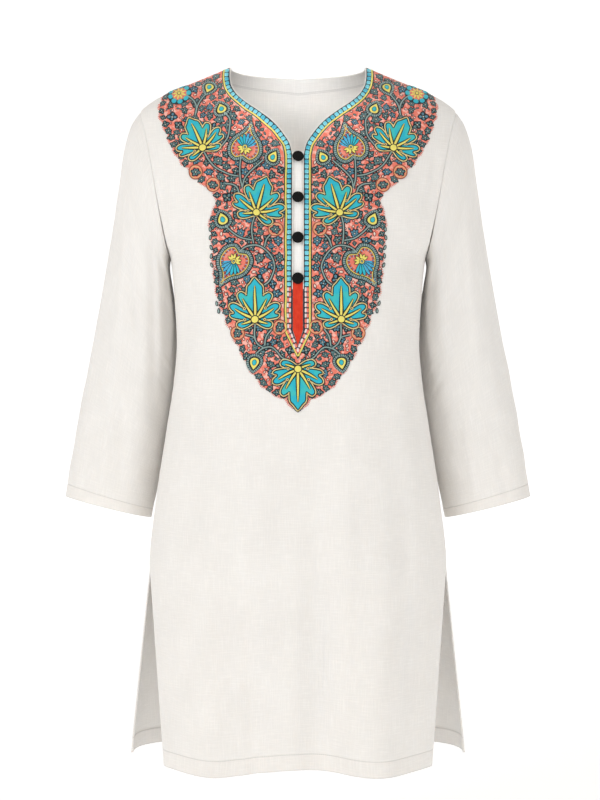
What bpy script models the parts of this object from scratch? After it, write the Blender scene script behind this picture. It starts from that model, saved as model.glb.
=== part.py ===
"""A women's kurta tunic in its worn shape, hollow and open: a front, a back, two set-in
sleeves, and what is sewn on them.

Frame: metres, +Z up, the front faces -Y and +X is the wearer's left. The origin is where the
garment is held: midway between its two neck points, on top of the shoulders.
Every table below is in millimetres, and MM turns the finished points into metres.
"""

import math
from collections import namedtuple

import bmesh
import bpy
import numpy as np
from mathutils import Vector

MM = 0.001

# ---- driving sizes, mm ---------------------------------------------------------------------
CLOTH = 1.5  # wall of the woven cloth
HEM_CLOTH = 2.6  # wall where a hem is turned up inside
SEAM_GAP = 0.3  # between any two pieces
SLEEVE_GAP = 0.45  # sideways at the armhole, whose seam runs at a slant
LAID_GAP = 0.5  # between the front and what lies on it, and the back and its facing
HEM_DEPTH = 20.0  # hem of the body
CUFF_HEM = 17.0  # hem of a sleeve
HEM_STEP = 2.0  # over this height the wall goes from cloth to hem
HEM_SAG = 4.0  # the hem hangs this much lower under each front fold
HEM_SAG_X = 100.0  # the middle of a front fold at the hem
HEM_SAG_REACH = 60.0
SHOULDER_POINT = -56.0  # heights: where the armhole starts
UNDERARM = -240.0
SLIT_TOP = -622.0
HEM = -864.0
OPENING_HALF = 6.2  # half the width of the front opening
OPENING_END = -279.0  # its lower end, just under the last button
UNDER_OPENING = 12.0  # in this height its two edges come together below it
BORDER = 9.6  # width of the border along neck and opening
BORDER_SHOULDER = -334.0  # where the border starts to close under the opening
BORDER_POINT = -352.0  # where its inner edges meet
BORDER_TOE = 15.0  # and how far under that its outer edges meet
BORDER_CLEAR = 1.0  # between the border and the embroidery's edge
TRIM = 0.9  # thickness of border, embroidery and tab
BACK_NECK_DROP = 5.0  # from the neck points to the middle of the back neck
FACING = 19.0  # width of the back neck facing
FACING_SHARE = 0.9  # of its last column before the shoulder seam
PLACKET_HALF = 16.0
PLACKET_TOP = -116.0
PLACKET_END = -296.0
PLACKET_GAP = 1.1  # between the front and the strip behind it
TAB_CLEAR = 2.0  # between the tab and the last button, and above the border's point
BUTTON_RADIUS = 6.7
SHANK_RADIUS = 3.2
BUTTON_DOME = 4.6
# A button's rim from underneath to where its dome starts: radius, height.
BUTTON_EDGE = ((6.1, 0.0), (BUTTON_RADIUS, 0.9), (6.2, 1.9), (5.5, 1.9))
BUTTON_HEIGHTS = (-123.5, -174.0, -223.0, -271.5)

# ---- sections of the body ------------------------------------------------------------------
# Each is a level ring: half of its width, the y of its side line, how far front and back
# stand off that line, and how square its corners are (2 is an ellipse).
Section = namedtuple("Section", "z half_width side_y front_depth back_depth squareness")
BODY_SECTIONS = (
    Section(0, 84, 6, 22, 58, 2.00),
    Section(-16, 122, 7, 36, 64, 2.00),
    Section(-41, 180, 8, 59, 72, 2.05),
    Section(-56, 198, 8, 72, 78, 2.10),
    Section(-72, 205, 8, 83, 85, 2.10),
    Section(-105, 208, 7, 97, 93, 2.15),
    Section(-150, 200, 5, 111, 101, 2.20),
    Section(-190, 186, 4, 121, 105, 2.25),
    Section(-220, 170, 3, 127, 106, 2.30),
    Section(-240, 159, 2, 129, 106, 2.30),
    Section(-290, 154, 1, 129, 102, 2.30),
    Section(-345, 151, 0, 123, 96, 2.30),
    Section(-390, 154.5, 0, 118, 98, 2.30),
    Section(-450, 163.5, 0, 114, 107, 2.25),
    Section(-540, 177, 0, 112, 122, 2.25),
    Section(-622, 185, 0, 111, 132, 2.25),
)
# Below the side slits the panels part, and each has its own edge.
Skirt = namedtuple("Skirt", "z half_width side_y depth squareness")
FRONT_SKIRT = (
    Skirt(-665, 180, -4, 106, 2.3),
    Skirt(-719, 176, -11, 98, 2.4),
    Skirt(-765, 173, -19, 88, 2.5),
    Skirt(-810, 170, -27, 78, 2.6),
    Skirt(-872, 164.5, -38, 64, 2.6),
)
BACK_SKIRT = (
    Skirt(-665, 191, 8, 130, 2.4),
    Skirt(-706, 196, 17, 128, 2.5),
    Skirt(-765, 202, 28, 125, 2.7),
    Skirt(-811, 207, 36, 123, 2.8),
    Skirt(-872, 213, 46, 120, 2.9),
)
# How far out the armhole seam lies at each height.
Station = namedtuple("Station", "x z")
ARMHOLE_SEAM = (
    Station(198, -56),
    Station(190, -84),
    Station(183, -115),
    Station(176.5, -150),
    Station(170, -185),
    Station(163, -220),
    Station(159, -240),
)
# The front neckline from the neck point to the notch, then the edge of the opening.
NECKLINE = (
    Station(84, 0),
    Station(84, -12),
    Station(82.5, -25),
    Station(76.5, -38),
    Station(64, -51),
    Station(48, -63),
    Station(31, -77),
    Station(17, -94),
    Station(9, -108),
    Station(OPENING_HALF, -121),
    Station(OPENING_HALF, OPENING_END),
)
FACING_END = Station(98, -10)  # the outer end of the back neck facing's lower edge
# The outline of the embroidery, from the shoulder seam to its lower point.
YOKE_OUTLINE = (
    Station(167, -35),
    Station(171, -54),
    Station(160, -93),
    Station(145, -122),
    Station(118, -153),
    Station(101, -168),
    Station(99, -180),
    Station(105, -198),
    Station(103, -228),
    Station(98, -284),
    Station(88, -314),
    Station(74, -348),
    Station(54, -383),
    Station(39, -402),
    Station(19, -414),
    Station(0, -430),
)
SCALLOP_RISE = 3.0
YOKE_TIP = 5.0  # height of the last row's blunt tip

# ---- folds ---------------------------------------------------------------------------------
# A soft ridge from its upper end, where it starts from nothing, to its lower end at full
# rise. Its width is the distance from the crest to where it has died away.
Fold = namedtuple("Fold", "x_top z_top x_low z_low width rise")
FRONT_FOLDS = (
    Fold(-74, -250, -108, -864, 66, 22),
    Fold(74, -250, 99, -864, 70, 25),
    Fold(-16, -380, -22, -864, 44, 7),
    Fold(-104, -205, -140, -460, 34, 5),
    Fold(108, -215, 142, -470, 34, 6),
)
BACK_FOLDS = (
    Fold(-66, -320, -98, -864, 60, 15),
    Fold(4, -300, 12, -864, 66, 18),
    Fold(80, -340, 108, -864, 56, 14),
)
# Ridges along a sleeve. Turn goes round it from 0 over the shoulder, through 90 in front and
# 180 under the arm; start and end are shares of its length, and width is in degrees.
SleeveFold = namedtuple("SleeveFold", "turn start end width rise")
SLEEVE_FOLDS = {
    -1: (
        SleeveFold(60, 0.05, 0.80, 30, 3.0),
        SleeveFold(112, 0.05, 1.00, 28, 3.5),
        SleeveFold(24, 0.35, 1.00, 26, 2.5),
        SleeveFold(248, 0.05, 0.90, 32, 4.0),
        SleeveFold(304, 0.25, 1.00, 30, 3.0),
    ),
    1: (
        SleeveFold(52, 0.10, 0.95, 32, 3.0),
        SleeveFold(118, 0.05, 0.85, 28, 4.0),
        SleeveFold(88, 0.45, 1.00, 24, 2.5),
        SleeveFold(240, 0.10, 1.00, 30, 3.5),
        SleeveFold(312, 0.20, 0.85, 32, 3.5),
    ),
}

# ---- the sleeve ----------------------------------------------------------------------------
# Its outer and inner lines as the front view shows them, the y of its middle and half of its
# depth. The first row is the armhole.
Cut = namedtuple("Cut", "along outer_x outer_z inner_x inner_z middle_y half_depth")
SLEEVE_CUTS = (
    Cut(0.00, 198.0, -56, 159.0, -240, 5, 58),
    Cut(0.05, 209.0, -72, 160.5, -252, 10, 60),
    Cut(0.12, 218.5, -102, 158.0, -272, 18, 62),
    Cut(0.22, 226.0, -150, 154.5, -300, 27, 62),
    Cut(0.36, 238.5, -226, 152.5, -346, 35, 60),
    Cut(0.52, 253.0, -308, 156.5, -402, 38, 56),
    Cut(0.68, 267.5, -388, 165.5, -460, 38, 52),
    Cut(0.84, 281.5, -464, 175.5, -512, 36, 48),
    Cut(1.00, 294.0, -537, 185.5, -564, 33, 44),
)
SLEEVE_SETTLED = 0.2  # by this share of its length the sleeve has left the armhole's shape
FOLD_TAIL = 1.15  # a sleeve's fold dies away this much past its stated ends
# Round the armhole the sleeve's wall ends parallel to the body's up to this turn from the
# shoulder, and over the next turn goes back to its own direction.
CAP_TURN, CAP_EASE = 50.0, 60.0

# ---- how finely the pieces are divided -----------------------------------------------------
NECK_ROWS = 8  # front rows that end on the neckline
OPENING_ROWS = 4  # and on the opening
ARMHOLE_ROWS = NECK_ROWS + OPENING_ROWS
SIDE_ROWS = 8
SLIT_ROWS = 5
COLUMNS = 12  # across half a panel
EVEN_SAMPLES = 60  # steps in which a row's length is measured
BACK_NECK_COLUMNS = 5  # of these, the columns between the middle and the neck point
SLEEVE_ROWS = 11
SLEEVE_SIDES = 2 * ARMHOLE_ROWS
YOKE_ROWS = 48  # every other one ends on the tip of a scallop
YOKE_COLUMNS = 6
BORDER_ROWS = 36
TAB_ROWS = 8
PLACKET_ROWS = 8
BUTTON_SIDES = 12
# Rows spread as a power of their share are closest at the top, where the cloth bends most.
NECK_CROWDING = 1.35
SLEEVE_CROWDING = 1.15
BORDER_CROWDING = 1.2
YOKE_CROWDING = 1.15

# ---- finishes ------------------------------------------------------------------------------
Finish = namedtuple("Finish", "name colour roughness")
LINEN = Finish("off-white linen", (0.86, 0.83, 0.78, 1), 0.9)
EMBROIDERY = Finish("coral embroidery", (0.75, 0.24, 0.17, 1), 0.75)
BORDER_THREAD = Finish("turquoise border", (0.08, 0.50, 0.60, 1), 0.7)
RED_CLOTH = Finish("orange red cloth", (0.68, 0.06, 0.03, 1), 0.8)
BLACK_CLOTH = Finish("black cloth", (0.012, 0.012, 0.012, 1), 0.6)


# ---- curves --------------------------------------------------------------------------------
def smooth(keys, values):
    """A smooth curve through the values that never swings past them."""
    keys = np.asarray(keys, float)
    values = np.asarray(values, float)
    step = np.diff(keys)
    rate = np.diff(values) / step
    slope = np.zeros(len(keys))
    slope[0], slope[-1] = rate[0], rate[-1]
    for i in range(1, len(keys) - 1):
        if rate[i - 1] * rate[i] > 0:
            before, after = 2 * step[i] + step[i - 1], step[i] + 2 * step[i - 1]
            slope[i] = (before + after) / (before / rate[i - 1] + after / rate[i])

    def at(key):
        key = min(max(key, keys[0]), keys[-1])
        i = min(max(int(np.searchsorted(keys, key)) - 1, 0), len(keys) - 2)
        t = (key - keys[i]) / step[i]
        rise = values[i] * (1 + 2 * t) * (1 - t) ** 2 + values[i + 1] * t * t * (3 - 2 * t)
        return float(rise + step[i] * t * (1 - t) * (slope[i] * (1 - t) - slope[i + 1] * t))

    return at


def down(table, column):
    """A column of a table whose rows go down the garment, as a function of the height z."""
    at = smooth([-row.z for row in table], [getattr(row, column) for row in table])
    return lambda z: at(-z)


def along(stations):
    """A smooth path through stations of the front view, by the share of its length."""
    gone = [0.0]
    for a, b in zip(stations, stations[1:]):
        gone.append(gone[-1] + math.hypot(b.x - a.x, b.z - a.z))
    x_at = smooth(gone, [s.x for s in stations])
    z_at = smooth(gone, [s.z for s in stations])
    return lambda share: (x_at(share * gone[-1]), z_at(share * gone[-1]))


def ease(t):
    t = min(1.0, max(0.0, t))
    return t * t * (3 - 2 * t)


def swell(distance, width):
    """1 on a fold's crest, 0 a width away, smooth between."""
    share = min(1.0, abs(distance) / width)
    return (1 - share * share) ** 2


# ---- the surfaces of the two panels --------------------------------------------------------
class Panel:
    """The outer surface of the front or the back, as a stack of level half rings."""

    def __init__(self, side, depth_column, skirt, folds):
        self.side = side  # -1 in front of the side line, 1 behind it
        self.folds = folds
        body = [
            Skirt(s.z, s.half_width, s.side_y, getattr(s, depth_column), s.squareness)
            for s in BODY_SECTIONS
        ]
        table = (*body, *skirt)
        self.half_width = down(table, "half_width")
        self.side_y = down(table, "side_y")
        self.depth = down(table, "depth")
        self.squareness = down(table, "squareness")

    def rise(self, x, z):
        """How far the folds lift the cloth; they die away towards the side."""
        total = 0.0
        for fold in self.folds:
            gone = (fold.z_top - z) / (fold.z_top - fold.z_low)
            crest = fold.x_top + (fold.x_low - fold.x_top) * gone
            total += fold.rise * ease(gone) * swell(x - crest, fold.width)
        return total * max(0.0, 1 - (abs(x) / self.half_width(z)) ** 6)

    def place(self, x, z):
        """The point of the cloth that the front view shows at x and z."""
        power = self.squareness(z)
        share = min(1.0, abs(x) / self.half_width(z))
        off = self.depth(z) * (1 - share**power) ** (1 / power) + self.rise(x, z)
        return Vector((x, self.side_y(z) + self.side * off, z))

    def excess(self, point):
        """0 on the cloth and positive outside it."""
        x, y, z = point
        power = self.squareness(z)
        stand = self.side * (y - self.side_y(z)) - self.rise(x, z)
        return (abs(x) / self.half_width(z)) ** power + max(0.0, stand / self.depth(z)) ** power

    def normal(self, point, reach=0.5):
        """The outward normal, which is the way in which the excess grows fastest."""
        steps = (Vector((reach, 0, 0)), Vector((0, reach, 0)), Vector((0, 0, reach)))
        grow = [self.excess(point + step) - self.excess(point - step) for step in steps]
        return Vector(grow).normalized()

    def turn(self, x, z):
        """Where x lies on the ring at z: 0 in the middle, a quarter turn on the side line."""
        share = min(1.0, abs(x) / self.half_width(z))
        return math.asin(share ** (self.squareness(z) / 2))

    def between(self, start, end, t):
        """The x and z a share t of the way over the cloth between two places."""
        turn = self.turn(*start) * (1 - t) + self.turn(*end) * t
        z = start[1] * (1 - t) + end[1] * t
        return self.half_width(z) * math.sin(turn) ** (2 / self.squareness(z)), z

    def evenly(self, start, end, count):
        """Places of the front view in equal steps over the cloth from start to end."""
        samples = [self.between(start, end, i / EVEN_SAMPLES) for i in range(EVEN_SAMPLES + 1)]
        points = [self.place(*sample) for sample in samples]
        gone = np.cumsum([0.0] + [(b - a).length for a, b in zip(points, points[1:])])
        shares = np.interp(np.linspace(0, gone[-1], count + 1), gone, np.linspace(0, 1, len(gone)))
        return [self.between(start, end, share) for share in shares]

    def pair(self, x, z, outer=0.0, inner=CLOTH):
        """A point proud of the cloth by outer, and one an inner depth below the cloth."""
        point = self.place(x, z)
        normal = self.normal(point)
        return point + normal * outer, point - normal * inner


FRONT = Panel(-1, "front_depth", FRONT_SKIRT, FRONT_FOLDS)
BACK = Panel(1, "back_depth", BACK_SKIRT, BACK_FOLDS)
armhole_x = down(ARMHOLE_SEAM, "x")
neckline = along(NECKLINE[: NECK_ROWS + 2])
yoke_outline = along(YOKE_OUTLINE)


def armhole(turn):
    """x and z of the armhole seam; turn is in degrees, 0 on the shoulder, 180 underarm."""
    middle = (SHOULDER_POINT + UNDERARM) / 2
    z = middle + (SHOULDER_POINT - middle) * math.cos(math.radians(turn))
    return armhole_x(z), z


def shoulder_z(x):
    """The height at which the shoulder seam passes x."""
    low, high = SHOULDER_POINT, 0.0
    while high - low > 1e-4:
        middle = (low + high) / 2
        low, high = (middle, high) if FRONT.half_width(middle) > x else (low, middle)
    return low


def hem_drop(x, z):
    """The hem hangs lower under the two front folds than between them and at the slits."""
    low = (SLIT_TOP - z) / (SLIT_TOP - HEM)
    sag = swell(abs(x) - HEM_SAG_X, HEM_SAG_REACH) - swell(x, HEM_SAG_REACH)
    return -HEM_SAG * max(0.0, low) * sag


def outer_ends(panel):
    """x and z of the rows' outer ends: down the armhole, the side seam and the slit."""
    ends = [armhole(180 * i / ARMHOLE_ROWS) for i in range(ARMHOLE_ROWS + 1)]
    for i in range(1, SIDE_ROWS + 1):
        z = UNDERARM + (SLIT_TOP - UNDERARM) * i / SIDE_ROWS
        ends.append((panel.half_width(z), z))
    return ends + [(panel.half_width(z), z) for z in slit_heights()]


def slit_heights():
    """Heights of the rows below the slit's top; the last ones make the turned-up hem."""
    ledge = HEM + HEM_DEPTH
    free = [SLIT_TOP + (ledge - SLIT_TOP) * i / SLIT_ROWS for i in range(1, SLIT_ROWS)]
    return free + [ledge + HEM_STEP, ledge, HEM]


def inner_ends():
    """x and z of the front rows' inner ends: down the neckline, the opening, the middle."""
    ends = [neckline((i / NECK_ROWS) ** NECK_CROWDING) for i in range(NECK_ROWS + 1)]
    notch = ends[-1][1]
    for i in range(1, OPENING_ROWS + 1):
        ends.append((OPENING_HALF, notch + (OPENING_END - notch) * i / OPENING_ROWS))
    for i in range(1, SIDE_ROWS + 1):
        top = OPENING_END - UNDER_OPENING
        ends.append((0.0, top + (SLIT_TOP - top) * (i - 1) / (SIDE_ROWS - 1)))
    return ends + [(0.0, z) for z in slit_heights()]


def wall_at(z):
    """Depth of the body's wall, which is doubled where the hem is turned up."""
    return HEM_CLOTH if z <= HEM + HEM_DEPTH + 0.1 else CLOTH


def seam_pair(panel, x, z, hand):
    """A panel's pair of points, kept half a seam gap off the side and shoulder seams."""
    drop = hem_drop(hand * x, z) if panel is FRONT else 0.0
    pair = panel.pair(hand * x, z + drop, inner=wall_at(z))
    on_side = z > SLIT_TOP - 1 and x > panel.half_width(z) - 0.01
    shift = Vector((0, panel.side * SEAM_GAP / 2, 0)) if on_side else Vector()
    return [point + shift for point in pair]


def front_half(hand):
    """Half of the front; hand is -1 or 1, the sign of its x."""
    grid = []
    for start, end in zip(inner_ends(), outer_ends(FRONT)):
        grid.append([seam_pair(FRONT, x, z, hand) for x, z in FRONT.evenly(start, end, COLUMNS)])
    return grid


def back_rows():
    """Rows of the back from the middle outwards, as places of the front view.

    The first is the neck rim and the shoulder seam, the second the facing's lower edge. Down
    to the underarm each passes a station under the neck point, to keep its columns even.
    """
    inner, outer = BACK_NECK_COLUMNS, COLUMNS - BACK_NECK_COLUMNS
    low_x = BACK.evenly((0, UNDERARM), armhole(180), COLUMNS)[inner][0]
    rows = []
    for i, end in enumerate(outer_ends(BACK)):
        if i > ARMHOLE_ROWS:
            rows.append(BACK.evenly((0, end[1]), end, COLUMNS))
            continue
        fallen = max(0, i - 1) / (ARMHOLE_ROWS - 1)
        middle_z = -BACK_NECK_DROP - (FACING if i else 0)
        middle_z += (UNDERARM - middle_z) * fallen
        neck = (FACING_END.x, FACING_END.z) if i else (BACK.half_width(0), 0.0)
        neck = (neck[0] + (low_x - neck[0]) * fallen, neck[1] + (UNDERARM - neck[1]) * fallen)
        rows.append(BACK.evenly((0, middle_z), neck, inner)[:-1] + BACK.evenly(neck, end, outer))
    return rows


def back_half(hand):
    return [[seam_pair(BACK, x, z, hand) for x, z in row] for row in back_rows()]


# ---- the surface of a sleeve ---------------------------------------------------------------
class Sleeve:
    """The outer surface of the left or right sleeve; hand is the sign of its x."""

    columns = {
        name: smooth([cut.along for cut in SLEEVE_CUTS], [getattr(cut, name) for cut in SLEEVE_CUTS])
        for name in Cut._fields[1:]
    }

    def __init__(self, hand):
        self.hand = hand

    def ring(self, gone, turn):
        """A point of the plain oval ring a share gone of the way down."""
        cut = {name: at(gone) for name, at in self.columns.items()}
        cosine, sine = math.cos(math.radians(turn)), math.sin(math.radians(turn))
        x = (cut["outer_x"] + cut["inner_x"]) / 2 + (cut["outer_x"] - cut["inner_x"]) / 2 * cosine
        z = (cut["outer_z"] + cut["inner_z"]) / 2 + (cut["outer_z"] - cut["inner_z"]) / 2 * cosine
        return Vector((x, cut["middle_y"] - cut["half_depth"] * sine, z))

    def seam(self, turn):
        """The point of the armhole seam, on the front for the first half turn."""
        x, z = armhole(turn if turn <= 180 else 360 - turn)
        return (FRONT if turn <= 180 else BACK).place(x, z)

    def rise(self, gone, turn):
        total = 0.0
        for fold in SLEEVE_FOLDS[self.hand]:
            middle, reach = (fold.start + fold.end) / 2, (fold.end - fold.start) / 2
            total += fold.rise * swell(gone - middle, reach * FOLD_TAIL) * swell(turn - fold.turn, fold.width)
        return total

    def place(self, gone, turn):
        """A point of the cloth, on the positive side of x."""
        turn %= 360
        oval = self.ring(gone, turn)
        held = 1 - ease(gone / SLEEVE_SETTLED)
        point = oval + (self.seam(turn) - self.ring(0, turn)) * held
        middle = (self.ring(gone, 0) + self.ring(gone, 180)) / 2
        return point + (oval - middle).normalized() * self.rise(gone, turn)

    def normal(self, gone, turn):
        upper, lower = max(0.0, gone - 0.004), min(1.0, gone + 0.004)
        downward = self.place(lower, turn) - self.place(upper, turn)
        around = self.place(gone, turn + 1.5) - self.place(gone, turn - 1.5)
        return around.cross(downward).normalized()

    def pair(self, gone, turn, inner=CLOTH):
        """The outer and inner points; at the armhole the wall ends parallel to the body's."""
        point = self.place(gone, turn)
        normal = self.normal(gone, turn)
        if gone == 0:
            panel = FRONT if turn <= 180 else BACK
            own = ease((min(turn, 360 - turn) - CAP_TURN) / CAP_EASE)
            normal = (panel.normal(point) * (1 - own) + normal * own).normalized()
            point += Vector((SLEEVE_GAP, 0, 0))
        mirror = Vector((self.hand, 1, 1))
        return point * mirror, (point - normal * inner) * mirror

    def grid(self):
        """Rings from the armhole to the cuff, whose hem is turned up."""
        length = abs(SLEEVE_CUTS[-1].outer_z - SLEEVE_CUTS[0].outer_z)
        ledge = 1 - CUFF_HEM / length
        shares = [ledge * (i / SLEEVE_ROWS) ** SLEEVE_CROWDING for i in range(SLEEVE_ROWS)]
        rows = [(share, CLOTH) for share in shares]
        rows += [(ledge - HEM_STEP / length, CLOTH), (ledge, HEM_CLOTH), (1.0, HEM_CLOTH)]
        turns = [360 * i / SLEEVE_SIDES for i in range(SLEEVE_SIDES)]
        lines = [[self.pair(share, turn, depth) for turn in turns] for share, depth in rows]
        return [line + line[:1] for line in lines]


# ---- what lies on the front, and inside it -------------------------------------------------
NECK_SHARE, STRAIGHT_SHARE = 0.42, 0.90  # of the border's rows: neckline, then opening


def border_edge(share, width):
    """x and z of the border's edge, a width out from the neckline and the opening."""
    notch = neckline(1)[1]
    if share <= NECK_SHARE:
        t = share / NECK_SHARE
        x, z = neckline(t)
        ahead, behind = neckline(min(1, t + 0.02)), neckline(max(0, t - 0.02))
        run = Vector((ahead[0] - behind[0], ahead[1] - behind[1])).normalized()
        return max(x - run.y * width, OPENING_HALF + width), z + run.x * width
    if share <= STRAIGHT_SHARE:
        t = (share - NECK_SHARE) / (STRAIGHT_SHARE - NECK_SHARE)
        return OPENING_HALF + width, notch + (BORDER_SHOULDER - notch) * t
    t = (share - STRAIGHT_SHARE) / (1 - STRAIGHT_SHARE)
    toe = BORDER_POINT - BORDER_TOE * width / BORDER
    return (OPENING_HALF + width) * (1 - t), BORDER_SHOULDER + (toe - BORDER_SHOULDER) * t


def on_front(x, z, hand):
    """A pair of points of something that lies on the front."""
    pair = FRONT.pair(hand * x, z, outer=LAID_GAP + TRIM, inner=-LAID_GAP)
    on_shoulder = x > FRONT.half_width(z) - 0.01
    shift = Vector((0, -SEAM_GAP / 2, 0)) if on_shoulder else Vector()
    return [point + shift for point in pair]


def border_share(row):
    return (row / BORDER_ROWS) ** BORDER_CROWDING


def border_half(hand):
    grid = []
    for i in range(BORDER_ROWS + 1):
        edges = [border_edge(border_share(i), width) for width in (0.0, BORDER)]
        edges = [(x, min(z, shoulder_z(x))) for x, z in edges]
        grid.append([on_front(*FRONT.between(*edges, t), hand) for t in (0, 0.5, 1)])
    return grid


def yoke_inner(row):
    """x and z of the embroidery's inner edge: beside the border, then down the middle."""
    if row <= BORDER_ROWS:
        return border_edge(border_share(row), BORDER + BORDER_CLEAR)
    top = border_edge(1, BORDER + BORDER_CLEAR)[1]
    low = YOKE_OUTLINE[-1].z + YOKE_TIP
    return 0.0, top + (low - top) * (row - BORDER_ROWS) / (YOKE_ROWS - BORDER_ROWS)


def yoke_outer(share, out):
    """x and z of the embroidery's outer edge, moved out by a scallop's rise."""
    x, z = yoke_outline(share)
    ahead, behind = yoke_outline(min(1, share + 0.01)), yoke_outline(max(0, share - 0.01))
    run = Vector((ahead[0] - behind[0], ahead[1] - behind[1])).normalized()
    return max(0.0, x - run.y * out), z + run.x * out


def yoke_half(hand):
    grid = []
    for i in range(YOKE_ROWS + 1):
        share = (i / YOKE_ROWS) ** YOKE_CROWDING
        out = SCALLOP_RISE * (i % 2 - 0.5) if 0 < i < YOKE_ROWS else 0.0
        ends = [(x, min(z, shoulder_z(x))) for x, z in (yoke_inner(i), yoke_outer(share, out))]
        steps = range(YOKE_COLUMNS + 1)
        grid.append([on_front(*FRONT.between(*ends, j / YOKE_COLUMNS), hand) for j in steps])
    return grid


def tab():
    """The pointed tab on the front between the border's closing edges, under the opening."""
    top = BUTTON_HEIGHTS[-1] - BUTTON_RADIUS - TAB_CLEAR
    low = BORDER_POINT + TAB_CLEAR
    grid = []
    for i in range(TAB_ROWS + 1):
        z = top + (low - top) * i / TAB_ROWS
        left = (BORDER_POINT + TAB_CLEAR / 2 - z) / (BORDER_POINT - BORDER_SHOULDER)
        half = (OPENING_HALF - SEAM_GAP) * min(1.0, left)
        grid.append([on_front(abs(x), z, 1 if x >= 0 else -1) for x in (-half, 0, half)])
    return grid


def placket():
    """The strip behind the opening that carries the buttons."""
    low = CLOTH + PLACKET_GAP
    places = (-PLACKET_HALF, -PLACKET_HALF / 2, 0, PLACKET_HALF / 2, PLACKET_HALF)
    grid = []
    for i in range(PLACKET_ROWS + 1):
        z = PLACKET_TOP + (PLACKET_END - PLACKET_TOP) * i / PLACKET_ROWS
        grid.append([FRONT.pair(x, z, outer=-low, inner=low + CLOTH) for x in places])
    return grid


def facing():
    """The band inside the back neck, which lies on the back's two top rows."""
    low = CLOTH + LAID_GAP
    grid = []
    for row in back_rows()[:2]:
        half = row[: BACK_NECK_COLUMNS + 1]
        half[-1] = BACK.between(half[-2], half[-1], FACING_SHARE)
        places = [(-x, z) for x, z in reversed(half[1:])] + half
        grid.append([BACK.pair(x, z, outer=-low, inner=low + CLOTH) for x, z in places])
    return grid


# ---- making objects ------------------------------------------------------------------------
def new_object(name, work, finish, root):
    """An object from a bmesh, with its own material."""
    bmesh.ops.recalc_face_normals(work, faces=work.faces)
    mesh = bpy.data.meshes.new(name)
    work.to_mesh(mesh)
    work.free()
    mesh.shade_smooth()
    mesh.set_sharp_from_angle(angle=math.radians(50))
    material = bpy.data.materials.new(f"{name} {finish.name}")
    material.use_nodes = True
    shader = material.node_tree.nodes["Principled BSDF"]
    shader.inputs["Base Color"].default_value = finish.colour
    shader.inputs["Roughness"].default_value = finish.roughness
    mesh.materials.append(material)
    made = bpy.data.objects.new(name, mesh)
    bpy.context.collection.objects.link(made)
    made.parent = root
    return made


def add_wall(name, patches, finish, root):
    """A closed wall from grids of point pairs; grids with an edge in common are joined."""
    work = bmesh.new()
    tag = work.verts.layers.int.new("pair")
    inner_points = []
    for grid in patches:
        rows = []
        for line in grid:
            row = []
            for outer, inner in line:
                vertex = work.verts.new(outer * MM)
                vertex[tag] = len(inner_points)
                inner_points.append(inner * MM)
                row.append(vertex)
            rows.append(row)
        for upper, lower in zip(rows, rows[1:]):
            for i in range(len(upper) - 1):
                work.faces.new((upper[i], upper[i + 1], lower[i + 1], lower[i]))
    bmesh.ops.remove_doubles(work, verts=work.verts, dist=0.01 * MM)
    bmesh.ops.triangulate(work, faces=work.faces)
    skin = work.faces[:] + work.edges[:]
    copy = bmesh.ops.extrude_face_region(work, geom=skin, use_keep_orig=True)
    for item in copy["geom"]:
        if isinstance(item, bmesh.types.BMVert):
            item.co = inner_points[item[tag]]
    return new_object(name, work, finish, root)


def add_button(name, z, root):
    """A covered dome button on its shank, turned about the front's normal."""
    foot = FRONT.place(0, z)
    normal = FRONT.normal(foot)
    strip = SEAM_GAP - CLOTH - PLACKET_GAP
    rim = LAID_GAP + TRIM + SEAM_GAP
    profile = [(0, strip), (SHANK_RADIUS, strip), (SHANK_RADIUS, rim)]
    profile += [(radius, rim + height) for radius, height in BUTTON_EDGE]
    dome_radius, dome_foot = BUTTON_EDGE[-1]
    for degrees in (30, 60):
        turn = math.radians(degrees)
        height = dome_foot + (BUTTON_DOME - dome_foot) * math.sin(turn)
        profile.append((dome_radius * math.cos(turn), rim + height))
    profile.append((0, rim + BUTTON_DOME))
    work = bmesh.new()
    turned = [work.verts.new((radius * MM, 0, height * MM)) for radius, height in profile]
    edges = [work.edges.new(ends) for ends in zip(turned, turned[1:])]
    bmesh.ops.spin(
        work,
        geom=turned + edges,
        axis=(0, 0, 1),
        cent=(0, 0, 0),
        angle=math.tau,
        steps=BUTTON_SIDES,
        use_merge=True,
    )
    bmesh.ops.remove_doubles(work, verts=work.verts, dist=0.01 * MM)
    button = new_object(name, work, BLACK_CLOTH, root)
    button.location = foot * MM
    button.rotation_euler = normal.to_track_quat("Z", "X").to_euler()
    return button


def main():
    for thing in list(bpy.data.objects):
        bpy.data.objects.remove(thing, do_unlink=True)
    root = bpy.data.objects.new("kurta", None)
    bpy.context.collection.objects.link(root)

    add_wall("front", [front_half(-1), front_half(1)], LINEN, root)
    add_wall("back", [back_half(-1), back_half(1)], LINEN, root)
    add_wall("sleeve_left", [Sleeve(1).grid()], LINEN, root)
    add_wall("sleeve_right", [Sleeve(-1).grid()], LINEN, root)
    add_wall("back_neck_facing", [facing()], LINEN, root)
    add_wall("neck_border", [border_half(-1), border_half(1)], BORDER_THREAD, root)
    add_wall("embroidered_yoke", [yoke_half(-1), yoke_half(1)], EMBROIDERY, root)
    add_wall("placket_tab", [tab()], RED_CLOTH, root)
    add_wall("button_placket", [placket()], LINEN, root)
    for count, z in enumerate(BUTTON_HEIGHTS, 1):
        add_button(f"button_{count}", z, root)


main()
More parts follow.
